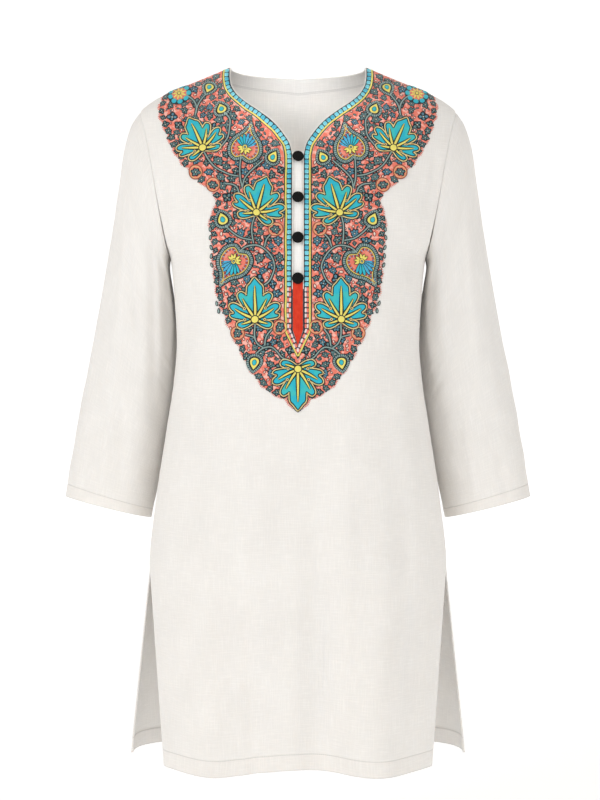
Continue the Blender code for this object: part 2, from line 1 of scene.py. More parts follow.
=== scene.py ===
# %% [markdown]
# # A kurta, worn and hollow
# A kurta is a long loose tunic. This one is off-white linen and cotton with a dense
# embroidered yoke, a bordered neck, a buttoned opening and slits at both sides. Its solids
# are already made, so this lesson dresses them: fine cloth over each panel, then the
# stitched work, and last the light. The garment keeps the shape it has on a wearer.
# %% Load the solids
import math
from collections import namedtuple

import bmesh
import bpy
import numpy as np
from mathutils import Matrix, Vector


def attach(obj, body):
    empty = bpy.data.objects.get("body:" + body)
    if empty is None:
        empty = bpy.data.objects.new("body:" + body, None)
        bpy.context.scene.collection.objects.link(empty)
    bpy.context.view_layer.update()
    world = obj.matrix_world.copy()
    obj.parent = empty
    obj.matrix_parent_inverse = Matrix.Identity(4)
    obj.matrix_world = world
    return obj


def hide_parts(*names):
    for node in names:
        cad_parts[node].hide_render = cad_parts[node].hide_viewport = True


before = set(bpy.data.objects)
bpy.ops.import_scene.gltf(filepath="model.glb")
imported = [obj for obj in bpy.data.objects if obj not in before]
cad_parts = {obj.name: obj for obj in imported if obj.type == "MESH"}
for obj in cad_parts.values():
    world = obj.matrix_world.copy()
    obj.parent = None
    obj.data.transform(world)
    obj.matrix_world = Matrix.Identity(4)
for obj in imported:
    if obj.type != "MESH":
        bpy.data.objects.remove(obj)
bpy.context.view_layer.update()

MM = 0.001  # all sizes below are in millimetres
print("solids:", ", ".join(sorted(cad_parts)))

# %% [markdown]
# ## The camera
# The camera stands level with the garment's middle and far back, so that the long lens
# shows the front almost without perspective. It is set before anything else, and every
# later cell can be judged through it.
# %% Place the camera
SENSOR = 36.0  # the camera's own default
FOCAL_LENGTH = 93.6
STAND = (0.0025, -2.6, -0.416)  # metres
NEAREST = 0.05

lens = bpy.data.cameras.new("camera")
lens.lens = FOCAL_LENGTH
lens.sensor_width = SENSOR
lens.clip_start = NEAREST
camera = bpy.data.objects.new("camera", lens)
camera.location = STAND
camera.rotation_euler = (math.radians(90), 0, 0)
bpy.context.scene.collection.objects.link(camera)
bpy.context.scene.camera = camera
print(f"camera {-STAND[1]:.1f} m in front, lens {FOCAL_LENGTH} mm")

# %% [markdown]
# ## The cut of the garment
# A pattern cutter works from a few girths and lengths. The body is a stack of level rings,
# each with half a width, a side line and a depth in front and behind, and how square its
# corners are. Under the side slits the two panels part, so each has a table of its own.
# %% Girths and lengths
SEAM_GAP = 0.3
HEM_DEPTH = 20.0
CUFF_HEM = 17.0
SHOULDER_POINT = -56.0
UNDERARM = -240.0
SLIT_TOP = -622.0
HEM = -864.0
HEM_SAG = 4.0
HEM_SAG_X = 100.0
HEM_SAG_REACH = 60.0
OPENING_HALF = 6.2
OPENING_END = -279.0
UNDER_OPENING = 12.0
BORDER = 9.6
BORDER_SHOULDER = -334.0
BORDER_POINT = -352.0
BORDER_TOE = 15.0
BORDER_CLEAR = 1.0
BACK_NECK_DROP = 5.0
FACING = 19.0
PLACKET_HALF = 16.0
PLACKET_TOP = -116.0
PLACKET_END = -296.0
BUTTON_HEIGHTS = (-123.5, -174.0, -223.0, -271.5)


def chart(kind, *rows):
    """A table: rows of numbers, each made into a row of a kind whose columns have names."""
    return [kind(*row) for row in rows]


Section = namedtuple("Section", "z half_width side_y front_depth back_depth squareness")
BODY_SECTIONS = chart(
    Section,
    (0, 84, 6, 22, 58, 2.00), (-16, 122, 7, 36, 64, 2.00), (-41, 180, 8, 59, 72, 2.05),
    (-56, 198, 8, 72, 78, 2.10), (-72, 205, 8, 83, 85, 2.10), (-105, 208, 7, 97, 93, 2.15),
    (-150, 200, 5, 111, 101, 2.20), (-190, 186, 4, 121, 105, 2.25),
    (-220, 170, 3, 127, 106, 2.30), (-240, 159, 2, 129, 106, 2.30),
    (-290, 154, 1, 129, 102, 2.30), (-345, 151, 0, 123, 96, 2.30),
    (-390, 154.5, 0, 118, 98, 2.30), (-450, 163.5, 0, 114, 107, 2.25),
    (-540, 177, 0, 112, 122, 2.25), (-622, 185, 0, 111, 132, 2.25),
)
Skirt = namedtuple("Skirt", "z half_width side_y depth squareness")
FRONT_SKIRT = chart(
    Skirt,
    (-665, 180, -4, 106, 2.3), (-719, 176, -11, 98, 2.4), (-765, 173, -19, 88, 2.5),
    (-810, 170, -27, 78, 2.6), (-872, 164.5, -38, 64, 2.6),
)
BACK_SKIRT = chart(
    Skirt,
    (-665, 191, 8, 130, 2.4), (-706, 196, 17, 128, 2.5), (-765, 202, 28, 125, 2.7),
    (-811, 207, 36, 123, 2.8), (-872, 213, 46, 120, 2.9),
)
print(f"{len(BODY_SECTIONS)} body rings, {len(FRONT_SKIRT) + len(BACK_SKIRT)} skirt rings")

# %% [markdown]
# The seams and edges are drawn on the front view as a few stations each: the armhole, the
# neckline with its notch and opening, and the outline of the embroidered yoke.
# %% Seams and edges
Station = namedtuple("Station", "x z")
ARMHOLE_SEAM = chart(
    Station,
    (198, -56), (190, -84), (183, -115), (176.5, -150), (170, -185), (163, -220), (159, -240),
)
NECKLINE = chart(
    Station,
    (84, 0), (84, -12), (82.5, -25), (76.5, -38), (64, -51), (48, -63), (31, -77), (17, -94),
    (9, -108), (OPENING_HALF, -121),
)
YOKE_OUTLINE = chart(
    Station,
    (167, -35), (171, -54), (160, -93), (145, -122), (118, -153), (101, -168), (99, -180),
    (105, -198), (103, -228), (98, -284), (88, -314), (74, -348), (54, -383), (39, -402),
    (19, -414), (0, -430),
)
SCALLOP_RISE = 3.0
YOKE_CROWDING = 1.15  # the scallops are closer together at the shoulder
FACING_END = Station(98, -10)
print("neckline", len(NECKLINE), "stations, yoke", len(YOKE_OUTLINE))

# %% [markdown]
# ## Smooth curves through the stations
# A curve must pass through every measurement and never swing past it, or the cloth would
# bulge between two rings. Limiting the slope at each key does that. The helpers take whole
# arrays, because a panel has some ten thousand points.
# %% Curves
def smooth(keys, values):
    """A smooth curve through the values that never swings past them."""
    keys = np.asarray(keys, float)
    values = np.asarray(values, float)
    step = np.diff(keys)
    rate = np.diff(values) / step
    slope = np.zeros(len(keys))
    slope[0], slope[-1] = rate[0], rate[-1]
    for i in range(1, len(keys) - 1):
        if rate[i - 1] * rate[i] > 0:
            before, after = 2 * step[i] + step[i - 1], step[i] + 2 * step[i - 1]
            slope[i] = (before + after) / (before / rate[i - 1] + after / rate[i])

    def at(key):
        key = np.clip(key, keys[0], keys[-1])
        i = np.clip(np.searchsorted(keys, key) - 1, 0, len(keys) - 2)
        t = (key - keys[i]) / step[i]
        rise = values[i] * (1 + 2 * t) * (1 - t) ** 2 + values[i + 1] * t * t * (3 - 2 * t)
        return rise + step[i] * t * (1 - t) * (slope[i] * (1 - t) - slope[i + 1] * t)

    return at


def down(table, column):
    """A column of a table whose rows go down the garment, as a function of the height."""
    at = smooth([-row.z for row in table], [getattr(row, column) for row in table])
    return lambda z: at(-np.asarray(z, float))


def travelled(*path):
    """The length gone at each point of a path, which is given as its columns."""
    return np.concatenate([[0], np.cumsum(np.hypot(*np.diff(path)))])


def along(stations):
    """A smooth path through stations of the front view, by the share of its length."""
    x, z = np.asarray(stations, float).T
    gone = travelled(x, z)
    x_at, z_at = smooth(gone, x), smooth(gone, z)
    return lambda share: (x_at(share * gone[-1]), z_at(share * gone[-1]))


def ease(t):
    t = np.clip(t, 0, 1)
    return t * t * (3 - 2 * t)


def swell(distance, width):
    """1 on a fold's crest, 0 a width away, smooth between."""
    share = np.minimum(1, np.abs(distance) / width)
    return (1 - share * share) ** 2


def unit(vectors):
    return vectors / np.linalg.norm(vectors, axis=-1, keepdims=True)


def heading(path, share, reach):
    """The direction in which a path runs at a share of its length."""
    ahead, behind = path(np.minimum(1, share + reach)), path(np.maximum(0, share - reach))
    return unit(np.stack([ahead[0] - behind[0], ahead[1] - behind[1]], -1))


def left_of(run):
    """Directions a quarter turn to the left of others."""
    return np.stack([-run[..., 1], run[..., 0]], -1)


armhole_x = down(ARMHOLE_SEAM, "x")
neckline = along(NECKLINE)
yoke_outline = along(YOKE_OUTLINE)
print(f"neckline ends at x {neckline(1.0)[0]:.1f}, z {neckline(1.0)[1]:.1f}")

# %% [markdown]
# ## Folds and creases
# A fold is a soft ridge that starts from nothing and grows to the hem. Those are in the
# solids, and the cloth repeats them. A crease is finer: it has two ends, a bow, and one
# flank steeper than the other, which is what makes linen look like linen. They are placed
# where the cloth is pulled, at the bust, the underarm and over the hips.
# %% The folds of the panels
Fold = namedtuple("Fold", "x_top z_top x_low z_low width rise")
FRONT_FOLDS = chart(
    Fold,
    (-74, -250, -108, -864, 66, 22), (74, -250, 99, -864, 70, 25), (-16, -380, -22, -864, 44, 7),
    (-104, -205, -140, -460, 34, 5), (108, -215, 142, -470, 34, 6),
)
BACK_FOLDS = chart(
    Fold,
    (-66, -320, -98, -864, 60, 15), (4, -300, 12, -864, 66, 18), (80, -340, 108, -864, 56, 14),
)
Crease = namedtuple("Crease", "x0 z0 x1 z1 bow width lean rise")
FRONT_CREASES = chart(
    Crease,
    # down the skirt, run on under the hem
    (-82, -420, -84, -960, -6, 24, 0.3, -4.2), (-128, -470, -146, -930, 5, 20, -0.3, 2.4),
    (-34, -430, -40, -980, 4, 26, 0.2, 2.6), (18, -450, 22, -960, -5, 28, -0.1, -3.2),
    (58, -400, 76, -900, 5, 22, 0.4, 3.0), (124, -430, 134, -960, -4, 20, 0.3, -3.8),
    (-58, -640, -62, -960, 2, 11, 0.3, 1.6), (-6, -680, -8, -950, -2, 14, -0.2, 1.2),
    (50, -640, 54, -960, 3, 16, 0.2, -1.4), (148, -600, 152, -900, 3, 12, 0.3, 1.8),
    (-152, -560, -158, -820, -3, 12, 0.2, -1.6),
    # from the underarms towards the bust and the waist
    (-158, -226, -112, -300, 6, 12, 0.4, 3.1), (-154, -250, -106, -372, 10, 15, 0.4, -3.1),
    (-148, -282, -118, -430, 8, 13, -0.3, 2.6), (158, -224, 114, -292, -6, 12, -0.4, 3.4),
    (154, -248, 108, -362, -10, 16, -0.4, -3.4), (148, -290, 122, -440, -8, 13, 0.3, 2.9),
    (-141, -330, -96, -352, -4, 9, 0.3, 1.6), (140, -338, 100, -366, 4, 9, -0.3, 1.7),
    # small ones on the chest beside the armholes
    (-172, -150, -158, -142, 1, 4, 0.3, 1.0), (-164, -106, -148, -200, 5, 9, 0.4, -2.5),
    (166, -100, 150, -196, -5, 9, -0.4, -2.6),
    # short cross wrinkles where the cloth has been sat on
    (-20, -500, 26, -508, -3, 7, 0.3, 0.9), (-66, -566, -30, -560, 2, 6, 0.2, 0.8),
    (60, -486, 104, -498, 3, 7, -0.3, 0.9), (-8, -628, 32, -634, -2, 6, 0.3, 0.8),
)
BACK_CREASES = chart(
    Crease,
    (-40, -420, -52, -950, 6, 24, 0.3, -4.0), (-128, -480, -150, -940, -5, 22, 0.3, -3.2),
    (52, -430, 62, -960, -6, 24, -0.3, -4.2), (142, -470, 164, -940, 5, 20, -0.3, -3.0),
    (-16, -600, -20, -960, 3, 13, 0.3, 2.0), (98, -620, 112, -940, -3, 13, 0.2, 2.0),
    (-158, -232, -104, -312, 6, 13, 0.4, 2.6), (-150, -262, -92, -384, 9, 16, 0.4, -2.4),
    (158, -230, 100, -306, -6, 13, -0.4, 2.6), (150, -258, 90, -378, -9, 16, -0.4, -2.6),
    (-160, -110, -142, -200, 5, 12, 0.4, -1.8), (162, -106, 144, -196, -5, 12, -0.4, -1.8),
    (-70, -96, 66, -100, -8, 13, 0.2, 1.6), (-46, -392, 34, -386, -5, 9, 0.3, -1.6),
    (-30, -412, 60, -420, 5, 9, 0.3, 1.4), (-84, -560, -30, -570, -4, 8, 0.3, 1.2),
    (24, -590, 84, -582, 4, 8, 0.3, 1.2),
)


def lift(crease, x, z):
    """How far a crease lifts the cloth at x and z."""
    run = np.array([crease.x1 - crease.x0, crease.z1 - crease.z0], float)
    length = np.hypot(*run)
    run /= length
    gone = ((x - crease.x0) * run[0] + (z - crease.z0) * run[1]) / length
    off = (x - crease.x0) * run[1] - (z - crease.z0) * run[0]
    off = off - crease.bow * 4 * gone * (1 - gone)
    width = crease.width * (1 + crease.lean * np.sign(off))
    return crease.rise * swell(off, width) * ease(3 * gone) * ease(3 * (1 - gone))


def wander(x, z, seed, length=75.0, waves=9):
    """A slow unevenness between about -1 and 1, since no cloth hangs quite smooth."""
    draw = np.random.default_rng(seed)
    total = np.zeros(np.broadcast(x, z).shape)
    for _ in range(waves):
        turn, phase = draw.uniform(0, math.tau, 2)
        pitch = length * draw.uniform(0.6, 1.7) / math.tau
        total = total + np.sin((x * math.cos(turn) + z * math.sin(turn)) / pitch + phase)
    return total / math.sqrt(waves)


print(f"{len(FRONT_CREASES)} creases in front, {len(BACK_CREASES)} behind")

# %% [markdown]
# ## A panel as a surface
# The front view fixes x and z of a point of the cloth, and the ring at that height gives
# its y. The outward normal is the way in which the point leaves the ring fastest, so it
# also holds at the sides, where the cloth turns edge on.
# %% The front and the back
UNEVEN = 0.7  # mm
SIDE_FADE = 6  # the higher, the nearer to the side a fold reaches


class Panel:
    """The outer surface of the front or the back, as a stack of level half rings."""

    def __init__(self, side, depth_column, skirt, folds, creases, seed):
        self.side, self.folds, self.creases, self.seed = side, folds, creases, seed
        body = [
            Skirt(s.z, s.half_width, s.side_y, getattr(s, depth_column), s.squareness)
            for s in BODY_SECTIONS
        ]
        for name in Skirt._fields[1:]:
            setattr(self, name, down((*body, *skirt), name))

    def rise(self, x, z):
        """How far folds and creases lift the cloth; they die away towards the side."""
        total = UNEVEN * wander(x, z, self.seed)
        for fold in self.folds:
            gone = (fold.z_top - z) / (fold.z_top - fold.z_low)
            crest = fold.x_top + (fold.x_low - fold.x_top) * gone
            total = total + fold.rise * ease(gone) * swell(x - crest, fold.width)
        for crease in self.creases:
            total = total + lift(crease, x, z)
        return total * np.maximum(0, 1 - (np.abs(x) / self.half_width(z)) ** SIDE_FADE)

    def place(self, x, z):
        """The points of the cloth that the front view shows at x and z."""
        x, z = np.broadcast_arrays(np.asarray(x, float), np.asarray(z, float))
        power = self.squareness(z)
        share = np.minimum(1, np.abs(x) / self.half_width(z))
        off = self.depth(z) * (1 - share**power) ** (1 / power) + self.rise(x, z)
        return np.stack([x, self.side_y(z) + self.side * off, z], -1)

    def excess(self, points):
        """1 on the cloth and more outside it."""
        x, y, z = np.moveaxis(points, -1, 0)
        power = self.squareness(z)
        stand = np.maximum(0, self.side * (y - self.side_y(z)) - self.rise(x, z))
        return (np.abs(x) / self.half_width(z)) ** power + (stand / self.depth(z)) ** power

    def normal(self, points, reach=0.5):
        steps = np.eye(3) * reach
        grow = [self.excess(points + step) - self.excess(points - step) for step in steps]
        return unit(np.stack(grow, -1))

    def turn(self, x, z):
        """Where x lies on its ring: 0 in the middle, a quarter turn on the side line."""
        share = np.minimum(1, np.abs(x) / self.half_width(z))
        return np.arcsin(share ** (self.squareness(z) / 2))

    def between(self, start, end, t):
        """The x and z a share t of the way over the cloth between two places."""
        turn = self.turn(*start) * (1 - t) + self.turn(*end) * t
        z = start[1] * (1 - t) + end[1] * t
        return self.half_width(z) * np.sin(turn) ** (2 / self.squareness(z)), z


FRONT = Panel(-1, "front_depth", FRONT_SKIRT, FRONT_FOLDS, FRONT_CREASES, 3)
BACK = Panel(1, "back_depth", BACK_SKIRT, BACK_FOLDS, BACK_CREASES, 8)
print("front at the bust", FRONT.place(0, -240).round(1), "back", BACK.place(0, -240).round(1))

# %% [markdown]
# ## A sleeve as a surface
# A set-in sleeve hangs from the armhole seam at a slant and turns its oval as it goes. Each
# ring is given by its outer and inner line in the front view and by its depth. Over the
# first fifth the ring eases into the armhole, so that sleeve and body meet along one seam.
# %% The cut of the sleeves
Cut = namedtuple("Cut", "along outer_x outer_z inner_x inner_z middle_y half_depth")
SLEEVE_CUTS = chart(
    Cut,
    (0.00, 198.0, -56, 159.0, -240, 5, 58), (0.05, 209.0, -72, 160.5, -252, 10, 60),
    (0.12, 218.5, -102, 158.0, -272, 18, 62), (0.22, 226.0, -150, 154.5, -300, 27, 62),
    (0.36, 238.5, -226, 152.5, -346, 35, 60), (0.52, 253.0, -308, 156.5, -402, 38, 56),
    (0.68, 267.5, -388, 165.5, -460, 38, 52), (0.84, 281.5, -464, 175.5, -512, 36, 48),
    (1.00, 294.0, -537, 185.5, -564, 33, 44),
)
SLEEVE_SETTLED = 0.2
SLEEVE_LENGTH = 490.0
GIRTH_DEGREE = 1.05  # mm of cloth for each degree of turn, halfway down
FOLD_TAIL = 1.15
CALM_TURN, CALM_TOP = 12, 0.05  # no creases at the sleeve's outer line and at its top
HALVINGS = 24
SleeveFold = namedtuple("SleeveFold", "turn start end width rise")
RIGHT_FOLDS = chart(
    SleeveFold,
    (60, 0.05, 0.80, 30, 3.0), (112, 0.05, 1.00, 28, 3.5), (24, 0.35, 1.00, 26, 2.5),
    (248, 0.05, 0.90, 32, 4.0), (304, 0.25, 1.00, 30, 3.0),
)
LEFT_FOLDS = chart(
    SleeveFold,
    (52, 0.10, 0.95, 32, 3.0), (118, 0.05, 0.85, 28, 4.0), (88, 0.45, 1.00, 24, 2.5),
    (240, 0.10, 1.00, 30, 3.5), (312, 0.20, 0.85, 32, 3.5),
)
# Creases of a sleeve: x is degrees of turn times GIRTH_DEGREE, z is minus the mm gone.
RIGHT_CREASES = chart(
    Crease,
    (36, -40, 78, -300, -6, 13, 0.4, 2.6), (78, -290, 86, -520, 3, 14, -0.3, 2.2),
    (58, -70, 112, -260, 6, 10, 0.3, -2.6), (112, -24, 138, -330, 6, 13, 0.3, -3.9),
    (158, -30, 150, -240, -5, 11, 0.3, 2.8), (100, -330, 116, -480, 3, 10, 0.2, -1.6),
    (60, -360, 52, -520, -3, 11, 0.3, -1.5), (12, -180, 30, -420, 4, 14, 0.2, -1.8),
    (132, -214, 176, -232, 3, 7, 0.3, 1.4), (122, -246, 168, -270, 3, 7, 0.3, -1.3),
    (226, -40, 246, -320, 6, 14, 0.3, -2.6), (286, -60, 262, -300, -6, 13, -0.3, 2.4),
    (322, -120, 330, -430, 4, 14, 0.2, -2.0), (222, -226, 262, -244, -3, 8, 0.3, 1.5),
    (214, -262, 256, -282, -3, 8, 0.3, -1.4),
)
LEFT_CREASES = chart(
    Crease,
    (58, -60, 80, -350, -5, 13, 0.4, 2.4), (40, -120, 48, -430, 4, 15, -0.2, -1.8),
    (122, -24, 104, -260, 4, 11, 0.3, -3.5), (150, -20, 132, -300, -6, 12, 0.3, 3.0),
    (170, -60, 160, -330, 4, 11, 0.2, -2.5), (104, -320, 112, -510, -3, 11, 0.3, 2.0),
    (74, -400, 70, -520, 2, 9, 0.2, -1.4), (126, -228, 172, -250, -3, 7, 0.3, 1.5),
    (118, -262, 160, -290, -3, 8, 0.3, -1.5), (20, -260, 24, -500, 3, 13, 0.3, 1.6),
    (230, -50, 250, -300, -6, 14, 0.3, -2.6), (290, -70, 270, -330, 6, 13, -0.3, 2.4),
    (330, -100, 322, -440, -4, 14, 0.2, -2.0), (218, -232, 258, -254, 3, 8, 0.3, 1.5),
    (212, -270, 250, -296, 3, 8, 0.3, -1.4),
)
print(len(SLEEVE_CUTS), "rings,", len(RIGHT_CREASES), "and", len(LEFT_CREASES), "creases")

# %% [markdown]
# The armhole is a curve on the body, drawn by the turn round it. A sleeve is then the oval
# at a share of its length, pulled towards that curve near the top, with its folds on it.
# %% The armhole and the sleeves
def armhole(turn):
    """x and z of the armhole seam; turn is in degrees, 0 on the shoulder, 180 underarm."""
    middle = (SHOULDER_POINT + UNDERARM) / 2
    z = middle + (SHOULDER_POINT - middle) * np.cos(np.radians(turn))
    return armhole_x(z), z


def shoulder_z(x):
    """The heights at which the shoulder seam passes each x."""
    low = np.full(np.shape(x), SHOULDER_POINT)
    high = np.zeros(np.shape(x))
    for _ in range(HALVINGS):
        middle = (low + high) / 2
        wide = FRONT.half_width(middle) > x
        low, high = np.where(wide, middle, low), np.where(wide, high, middle)
    return low


class Sleeve:
    """The outer surface of one sleeve; hand is the sign of its x."""

    shares, *rest = zip(*SLEEVE_CUTS)
    columns = {name: smooth(share, column) for name, share, column in
               zip(Cut._fields[1:], [shares] * len(rest), rest)}

    def __init__(self, hand, folds, creases, seed):
        self.hand, self.folds, self.creases, self.seed = hand, folds, creases, seed

    def ring(self, gone, turn):
        """Points of the plain ovals a share gone of the way down."""
        cut = {name: at(gone) for name, at in self.columns.items()}
        cosine, sine = np.cos(np.radians(turn)), np.sin(np.radians(turn))
        x, z = (
            (cut[f"outer_{way}"] + cut[f"inner_{way}"]) / 2
            + (cut[f"outer_{way}"] - cut[f"inner_{way}"]) / 2 * cosine
            for way in "xz"
        )
        return np.stack([x, cut["middle_y"] - cut["half_depth"] * sine, z], -1)

    def seam(self, turn):
        """Points of the armhole seam, on the front for the first half turn."""
        x, z = armhole(np.where(turn <= 180, turn, 360 - turn))
        mirror = np.array([self.hand, 1, 1])
        front, back = (panel.place(self.hand * x, z) * mirror for panel in (FRONT, BACK))
        return np.where((turn <= 180)[..., None], front, back)

    def rise(self, gone, turn):
        total = 0.0
        for fold in self.folds:
            middle, reach = (fold.start + fold.end) / 2, (fold.end - fold.start) / 2
            off = swell(gone - middle, reach * FOLD_TAIL) * swell(turn - fold.turn, fold.width)
            total = total + fold.rise * off
        fine = UNEVEN * 0.8 * wander(turn * GIRTH_DEGREE, gone * SLEEVE_LENGTH, self.seed)
        for crease in self.creases:
            fine = fine + lift(crease, turn * GIRTH_DEGREE, -gone * SLEEVE_LENGTH)
        wrap = ease(turn / CALM_TURN) * ease((360 - turn) / CALM_TURN)
        return total + fine * ease(gone / CALM_TOP) * wrap

    def place(self, gone, turn):
        """Points of the cloth, on the positive side of x."""
        gone, turn = np.broadcast_arrays(np.asarray(gone, float), np.asarray(turn, float))
        turn = turn % 360
        oval = self.ring(gone, turn)
        held = 1 - ease(gone / SLEEVE_SETTLED)
        point = oval + (self.seam(turn) - self.ring(0 * gone, turn)) * held[..., None]
        middle = (self.ring(gone, 0 * turn) + self.ring(gone, 0 * turn + 180)) / 2
        return point + unit(oval - middle) * self.rise(gone, turn)[..., None]

    def normal(self, gone, turn):
        upper, lower = np.maximum(0, gone - 0.004), np.minimum(1, gone + 0.004)
        downward = self.place(lower, turn) - self.place(upper, turn)
        around = self.place(gone, turn + 1.5) - self.place(gone, turn - 1.5)
        return unit(np.cross(around, downward))


SLEEVES = {
    "sleeve_left": Sleeve(1, LEFT_FOLDS, LEFT_CREASES, 21),
    "sleeve_right": Sleeve(-1, RIGHT_FOLDS, RIGHT_CREASES, 34),
}
print("cuff at", SLEEVES["sleeve_left"].place(1.0, 90.0).round(1))

# %% [markdown]
# ## Shader maths as plain sums
# A material is a net of nodes, and its sums are easier to read as Python. `Value` wraps a
# socket, so that `1 - mask` adds its own Math node.
# %% Values
def operator(operation, swapped=False):
    """A method that adds a Math node to a value and another one or a number."""
    def apply(self, other):
        return self.maths(operation, *((other, self) if swapped else (self, other)))

    return apply


class Value:
    """A socket with arithmetic."""

    __add__ = __radd__ = operator("ADD")
    __sub__, __rsub__ = operator("SUBTRACT"), operator("SUBTRACT", swapped=True)
    __mul__ = __rmul__ = operator("MULTIPLY")
    __truediv__ = operator("DIVIDE")

    def __init__(self, finish, socket):
        self.finish, self.socket = finish, socket

    def maths(self, operation, *numbers):
        inputs = dict(enumerate(numbers))
        return self.finish.node("ShaderNodeMath", {"operation": operation}, inputs)

    def sine(self):
        return self.maths("SINE", self)

    def size(self):
        return self.maths("ABSOLUTE", self)

    def between(self, low, high):
        """0 up to low, 1 from high on."""
        inputs = {"Value": self, "From Min": low, "From Max": high}
        return self.finish.node("ShaderNodeMapRange", {"clamp": True}, inputs)


print("a value also knows", [name for name in vars(Value) if "__" not in name])

# %% [markdown]
# `Finish` holds one material, and all its other nodes come from one method. Cloth is matt:
# what it shows is colour, a weave in its bump and a faint sheen, which is the same all over
# and so is set on the shader.
# %% Finishes
SPECULAR = 0.25  # of cloth and thread


class Finish:
    """One material, and the method that makes its nodes."""

    def __init__(self, name, roughness, sheen=0.0):
        self.material = bpy.data.materials.new(name)
        self.material.use_nodes = True
        self.tree = self.material.node_tree
        self.shader = self.tree.nodes["Principled BSDF"]
        self.feed(Roughness=roughness, Sheen_Weight=sheen, Specular_IOR_Level=SPECULAR)

    def node(self, kind, settings=None, inputs=None, output=0):
        made = self.tree.nodes.new(kind)
        for name, setting in (settings or {}).items():
            setattr(made, name, setting)
        for name, value in (inputs or {}).items():
            self.join(value, made.inputs[name])
        return Value(self, made.outputs[output])

    def join(self, value, socket):
        """Links a value to a socket, or sets the socket to a constant."""
        if isinstance(value, Value):
            self.tree.links.new(value.socket, socket)
        else:
            socket.default_value = value

    def feed(self, **values):
        """Sets the shader's own sockets; Base_Color stands for Base Color."""
        for name, value in values.items():
            self.join(value, self.shader.inputs[name.replace("_", " ")])

    def grain(self):
        """The two coordinates along the cloth's threads, in millimetres."""
        uv = self.node("ShaderNodeUVMap", {"uv_map": "grain"})
        ways = [self.node("ShaderNodeSeparateXYZ", None, {"Vector": uv}, way) for way in "XY"]
        return [metres * 1000 for metres in ways]

    def noise(self, across, down_it, detail=2.0, depth=0.0):
        """Noise between 0 and 1 whose patches are about 1 wide in both given numbers."""
        spot = self.node("ShaderNodeCombineXYZ", None, {"X": across, "Y": down_it, "Z": depth})
        inputs = {"Vector": spot, "Scale": 1.0, "Detail": detail}
        return self.node("ShaderNodeTexNoise", None, inputs)

    def mix(self, factor, first, second):
        """A colour between two colours."""
        settings = {"data_type": "RGBA", "clamp_factor": True}
        return self.node("ShaderNodeMix", settings, {0: factor, 6: first, 7: second}, 2)

    def bump(self, height, depth):
        """Feeds a height between 0 and 1, which stands for a depth in millimetres."""
        inputs = {"Height": height, "Distance": depth * MM, "Strength": 1.0}
        self.feed(Normal=self.node("ShaderNodeBump", None, inputs))


def shade(red, green, blue, factor=1.0):
    """A colour from a dyer's card, 0 to 255, times a factor and made linear for the shader."""
    card = np.clip(np.array([red, green, blue]) * factor, 0, 255) / 255
    linear = np.where(card <= 0.04045, card / 12.92, ((card + 0.055) / 1.055) ** 2.4)
    return (*linear.tolist(), 1.0)


print("half of the card's scale is", round(shade(127.5, 127.5, 127.5)[0], 3), "of full light")

# %% [markdown]
# ## Off-white linen
# Linen yarn is uneven: thick places, called slubs, run along single threads for a few
# centimetres, both ways. Plain weave is a fine chequer of threads that pass over and under.
# Both come from the grain coordinates, so that the threads follow the cloth, and not space.
# Thin linen lets light through, so the inside of the neck and of the slits stays light.
# %% The linen
YARN = 0.62  # mm from one thread to the next
WEAVE_DEPTH = 0.3  # mm
LIGHT_THROUGH, LIGHT_REACH = 0.3, 2.2  # the share of light that enters, and its reach in mm
# The second white is the placket's: whiter than the linen, as painted light for its shaded recess.
WARM_WHITE, PAINTED_LIGHT_WHITE = (241, 238, 234), (253, 251, 248)
STITCH = 2.4  # mm
# The second factor darkens the dashed stitch line, which also paints the shade of its groove, and
# the bottom mm or so of the edge, which is painted shade.
LINEN_LOW, STITCH_AND_EDGE_SHADE = 0.945, 0.89  # how much darker the cloth's low places and its stitches are
FACING_STITCHES = 2.5  # mm above its edge


def linen(name, card, edge, hem, crumple=0.55):
    """Plain cloth with slubs, a little crumpled; its stitches a hem above its edge are painted
    darker, as stitches and as the shade of their groove, and the edge itself gets painted shade.
    """
    cloth = Finish(name, roughness=0.92, sheen=0.12)
    across, down_it = cloth.grain()
    warp_slub = cloth.noise(across / 1.3, down_it / 24, 1.0, 3.0).between(0.45, 0.80)
    weft_slub = cloth.noise(across / 20, down_it / 1.2, 1.0, 9.0).between(0.45, 0.80)
    cloudy = cloth.noise(across / 46, down_it / 60, 3.0, 5.0)
    light = cloudy * 0.55 + weft_slub * 0.28 + warp_slub * 0.28
    tint = cloth.mix(light.between(0.1, 0.75), shade(*card, LINEN_LOW), shade(*card))
    # The stitch line is darker: dashed stitches, with painted shade of the groove they sit in. The
    # bottom 1.6 mm above the edge is darkened as painted shade of the turned edge.
    stitch = (across * (math.pi / STITCH)).sine().size().between(0.1, 0.5)
    up = edge - down_it
    line = up.between(hem - 1.2, hem - 0.6) * (1 - up.between(hem, hem + 0.6))
    stitches_and_groove_shade, painted_edge_shade = line * (stitch * 0.5 + 0.5), 1 - up.between(0.2, 1.6)
    cloth.feed(Base_Color=cloth.mix(stitches_and_groove_shade + painted_edge_shade, tint, shade(*card, STITCH_AND_EDGE_SHADE)))
    over = (across * (math.pi / YARN)).sine() * (down_it * (math.pi / YARN)).sine()
    crumples = cloth.noise(across / 9, down_it / 12, 2.5, 1.0)
    height = over * 0.10 + weft_slub * 0.3 + warp_slub * 0.3 + crumples * crumple
    cloth.bump(height, WEAVE_DEPTH)
    cloth.feed(Subsurface_Weight=LIGHT_THROUGH, Subsurface_Radius=(1.0, 0.9, 0.8))
    cloth.feed(Subsurface_Scale=LIGHT_REACH * MM)
    return cloth.material


